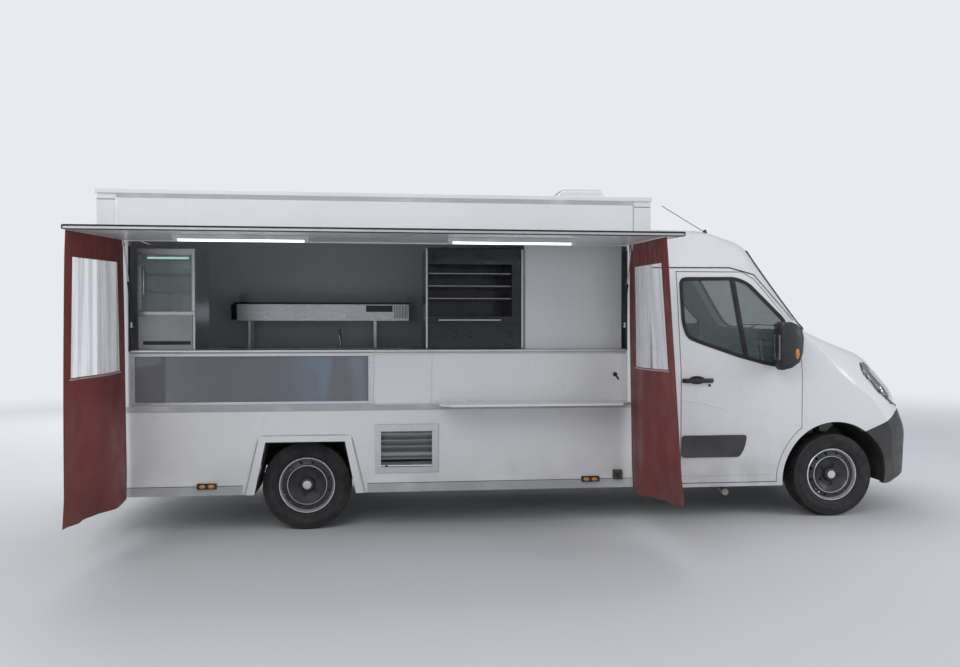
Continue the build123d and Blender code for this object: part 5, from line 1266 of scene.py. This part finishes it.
def fridge(bright, dark, pale, pane, light):
    """Door frame, glass, handle and lit top, with a pale foot and its slot."""
    (x0, x1), y = FRIDGE_X, FRIDGE_Y
    for a, b, z0, z1 in ((x0, x1, 2.140, 2.186), (x0, x1, 1.676, 1.704), (x0, x0 + 0.030, 1.704, 2.140),
                         (x1 - 0.026, x1, 1.704, 2.140)):
        bright.block((a, y - 0.016, z0), (b, y - 0.001, z1))
    bright.block((x1 - 0.018, y - 0.010, 1.414), (x1, y - 0.0005, 1.676))
    handle = ((0.018, 1.82), (0.040, 1.84), (0.040, 2.02), (0.018, 2.04))
    bright.tube([(x0 + 0.052, y - out, z) for out, z in handle], 0.007, 12, up=Y_AXIS)
    pane.block((x0 + 0.030, y - 0.010, 1.704), (x1 - 0.026, y - 0.005, 2.140), 0.0005)
    pale.block((x0 + 0.004, y - 0.008, 1.414), (x1 - 0.020, y - 0.0005, 1.672), 0.003)
    dark.block((x0 + 0.040, y - 0.010, 1.448), (x1 - 0.035, y - 0.006, 1.476), 0.001)
    for z in (1.4505 + 0.005 * k for k in range(5)):
        dark.block((x0 + 0.048, y - 0.0125, z), (x1 - 0.043, y - 0.009, z + 0.002), 0.0003)
    light.tube([(x0 + 0.060, -0.905, 2.118), (x1 - 0.060, -0.905, 2.118)], 0.008, 12)


def oven(bright, dark, pale):
    """Side trims, rack rods, door handle and controls."""
    (x0, x1), y = OVEN_X, OVEN_Y
    for x in (x0, x1 - 0.016):
        bright.block((x, y - 0.010, 1.412), (x + 0.016, y - 0.0005, 2.210))
    for z, rod_y in itertools.product((1.814, 1.914, 2.014), (-0.905, -0.860, -0.815, -0.770)):
        bright.tube([(x0 + 0.024, rod_y, z), (-0.546, rod_y, z)], 0.004, 8)
    bright.tube([(x0 + 0.10, y - 0.006, 1.640), (x0 + 0.10, y - 0.034, 1.640), (-0.64, y - 0.034, 1.640),
                 (-0.64, y - 0.006, 1.640)], 0.009, 12)
    dark.block((x0 + 0.030, y - 0.006, 1.430), (x1 - 0.030, y - 0.0005, 1.610))
    for x in (-1.12, -1.00, -0.88, -0.56):
        dark.lathe(KNOB, (x, y - 0.006, 1.520), (0, -1, 0), 24)
    pale.block((x1 + 0.002, -0.932, 1.412), (x1 + 0.020, -0.922, 2.200))


def chiller(dark, pane):
    """Display, ribs, lid and its ends."""
    (x0, x1), y = CHILLER_X, CHILLER_Y
    dark.block((-1.735, y - 0.004, 1.727), (-1.478, y + 0.001, 1.790), 0.001)
    for x in (-1.462 + 0.015 * k for k in range(9)):
        dark.block((x, y - 0.003, 1.665), (x + 0.006, y + 0.001, 1.790), 0.0005)
    dark.block((x0 - 0.035, y + 0.010, 1.802), (x1 + 0.010, y + 0.300, 1.818), 0.003)
    dark.block((x0 - 0.055, y + 0.004, 1.650), (x0 - 0.002, y + 0.200, 1.800), 0.006)
    pane.block((x0 + 0.02, y + 0.030, 1.818), (x1 - 0.02, y + 0.034, 1.900), 0.0005)


def tap(bright):
    """Tap on the back counter."""
    bend = [(TAP_X, TAP_Y - 0.075 + 0.075 * math.cos(a), 1.500 + 0.060 * math.sin(a))
            for a in (0.0, 0.5, 1.0, 1.6, 2.2, 2.8, 3.14)]
    bright.lathe(TAP, (TAP_X, TAP_Y, 1.380), Z_AXIS, 20)
    bright.tube([(TAP_X, TAP_Y, 1.470)] + bend + [(TAP_X, TAP_Y - 0.150, 1.470)], 0.009, 12, up=X_AXIS)


def equipment():
    """Fronts and fittings of the kitchen."""
    bright, dark, pale, pane, light = shapes(5)
    fridge(bright, dark, pale, pane, light)
    oven(bright, dark, pale)
    chiller(dark, pane)
    tap(bright)
    bright.piece("kitchen_bright_fittings", "steel", angle=40)
    dark.piece("kitchen_dark_fittings", "enamel", angle=40)
    # The pale panels take the grey lining: painted shade inside the box
    pale.piece("kitchen_pale_panels", "lining_painted_shade", angle=40)
    pane.piece("kitchen_panes", "clear_pane", angle=40)
    light.piece("fridge_lamp", "tube_green", angle=60)


# Roof and rear

DOME = [(1.0, 0.0), (0.99, 0.012), (0.94, 0.022), (0.80, 0.029), (0.50, 0.034), (0.0001, 0.036)]
DOME_AT = Vector((0.205, 0.0, 2.806))
DOME_HALF_W = 0.182
DOME_CORNER = 0.74
DOOR_FACE_X = -3.722
# Lever of the rear door's handle. Columns: x from the door's face, y
LEVER = [(0.004, -0.245), (-0.036, -0.245), (-0.040, -0.235), (-0.040, -0.130)]
LEVER_Z = 1.385
LEVER_FOOT = [(0.026, 0.0), (0.024, 0.008), (0.0001, 0.009)]
LOCK_FOOT = [(0.013, 0.0), (0.012, 0.006), (0.0001, 0.007)]
DOOR_SEAL = [(-0.352, 0.598), (0.405, 0.598), (0.405, 2.352), (-0.352, 2.352)]


def roof_and_rear():
    """Dome of the roof vent, rear door fittings and blank plate."""
    dome, metal, seal, plate = shapes(4)
    dome.lathe(DOME, axis=Z_AXIS, steps=64)
    for v in dome.verts:
        # A circle grown towards a square with round corners
        grow = DOME_HALF_W / max(max(abs(v.x), abs(v.y)) / max(1e-6, math.hypot(v.x, v.y)), DOME_CORNER)
        v.xyz = DOME_AT + Vector((v.x * grow * 1.02, v.y * grow, v.z))
    dome.piece("vent_dome", "panel", angle=60)
    metal.tube([(DOOR_FACE_X + x, y, LEVER_Z) for x, y in LEVER], 0.010, 12)
    for profile, z, steps in ((LEVER_FOOT, LEVER_Z, 24), (LOCK_FOOT, 1.300, 20)):
        metal.lathe(profile, (DOOR_FACE_X, -0.245, z), (-1, 0, 0), steps)
    metal.piece("rear_door_handle", "black", "rear_door", 50)
    path = [Vector((-3.697, p.x, p.y)) for p in spaced(rounded_outline(DOOR_SEAL, 0.03, 3), 0.2, True)]
    strip(seal, [(p, Vector((-1, 0, 0))) for p in path], 0.022, 0.006, True)
    seal.piece("rear_frame_seal", "seal", angle=50)
    plate.block((-3.7890, -0.866, 0.320), (-3.7855, -0.354, 0.422), 0.001)
    plate.piece("rear_plate_blank", "grey")


# Seats

SEAM_ZS = (1.060, 1.330)
CUSHION_SEAM_X = 1.03
CUSHION_TOP_Z = 0.92
CLOTH_FROM_Z = 0.78
SEAM_HALF_W = 0.012
SEAM_DEPTH = 0.009
SEAT_VOXEL = 0.013
CREASE_DEPTH = 0.004


def dip(distance):
    return math.exp(-(distance / SEAM_HALF_W) ** 2)


def seats():
    """Padded cushions, backs and headrests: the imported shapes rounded, crowned and sewn."""
    mesh = NODES["seats"].data.copy()
    work = bmesh.new()
    work.from_mesh(mesh)
    bmesh.ops.remove_doubles(work, verts=work.verts, dist=0.0003)
    work.to_mesh(mesh)
    work.free()
    obj = bpy.data.objects.new("seat_pads", mesh)
    bpy.context.scene.collection.objects.link(obj)
    remesh = obj.modifiers.new("skin", "REMESH")
    remesh.mode = "VOXEL"
    remesh.voxel_size = SEAT_VOXEL
    smooth = obj.modifiers.new("relax", "SMOOTH")
    smooth.iterations = 9
    smooth.factor = 0.6
    obj.data = evaluated(obj)
    normals = [v.normal.copy() for v in obj.data.vertices]
    for v, normal in zip(obj.data.vertices, normals):
        if v.co.z < CLOTH_FROM_Z:
            continue
        groove = max(dip(v.co.z - z) for z in SEAM_ZS)
        cushion = dip(v.co.x - CUSHION_SEAM_X) if v.co.z < CUSHION_TOP_Z else 0.0
        v.co -= normal * SEAM_DEPTH * max(groove, cushion)
        v.co += normal * CREASE_DEPTH * math.sin(v.co.y * 26.0) * math.sin(v.co.z * 19.0 + v.co.x * 23.0)
    dress(obj, MAT["seat"], "chassis", 60)
    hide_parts("seats")


studio()
finish_nodes()
wheels()
curtains()
cab_sides()
cab_front()
wheel_liners()
box_trim()
flap_trim()
equipment()
roof_and_rear()
seats()
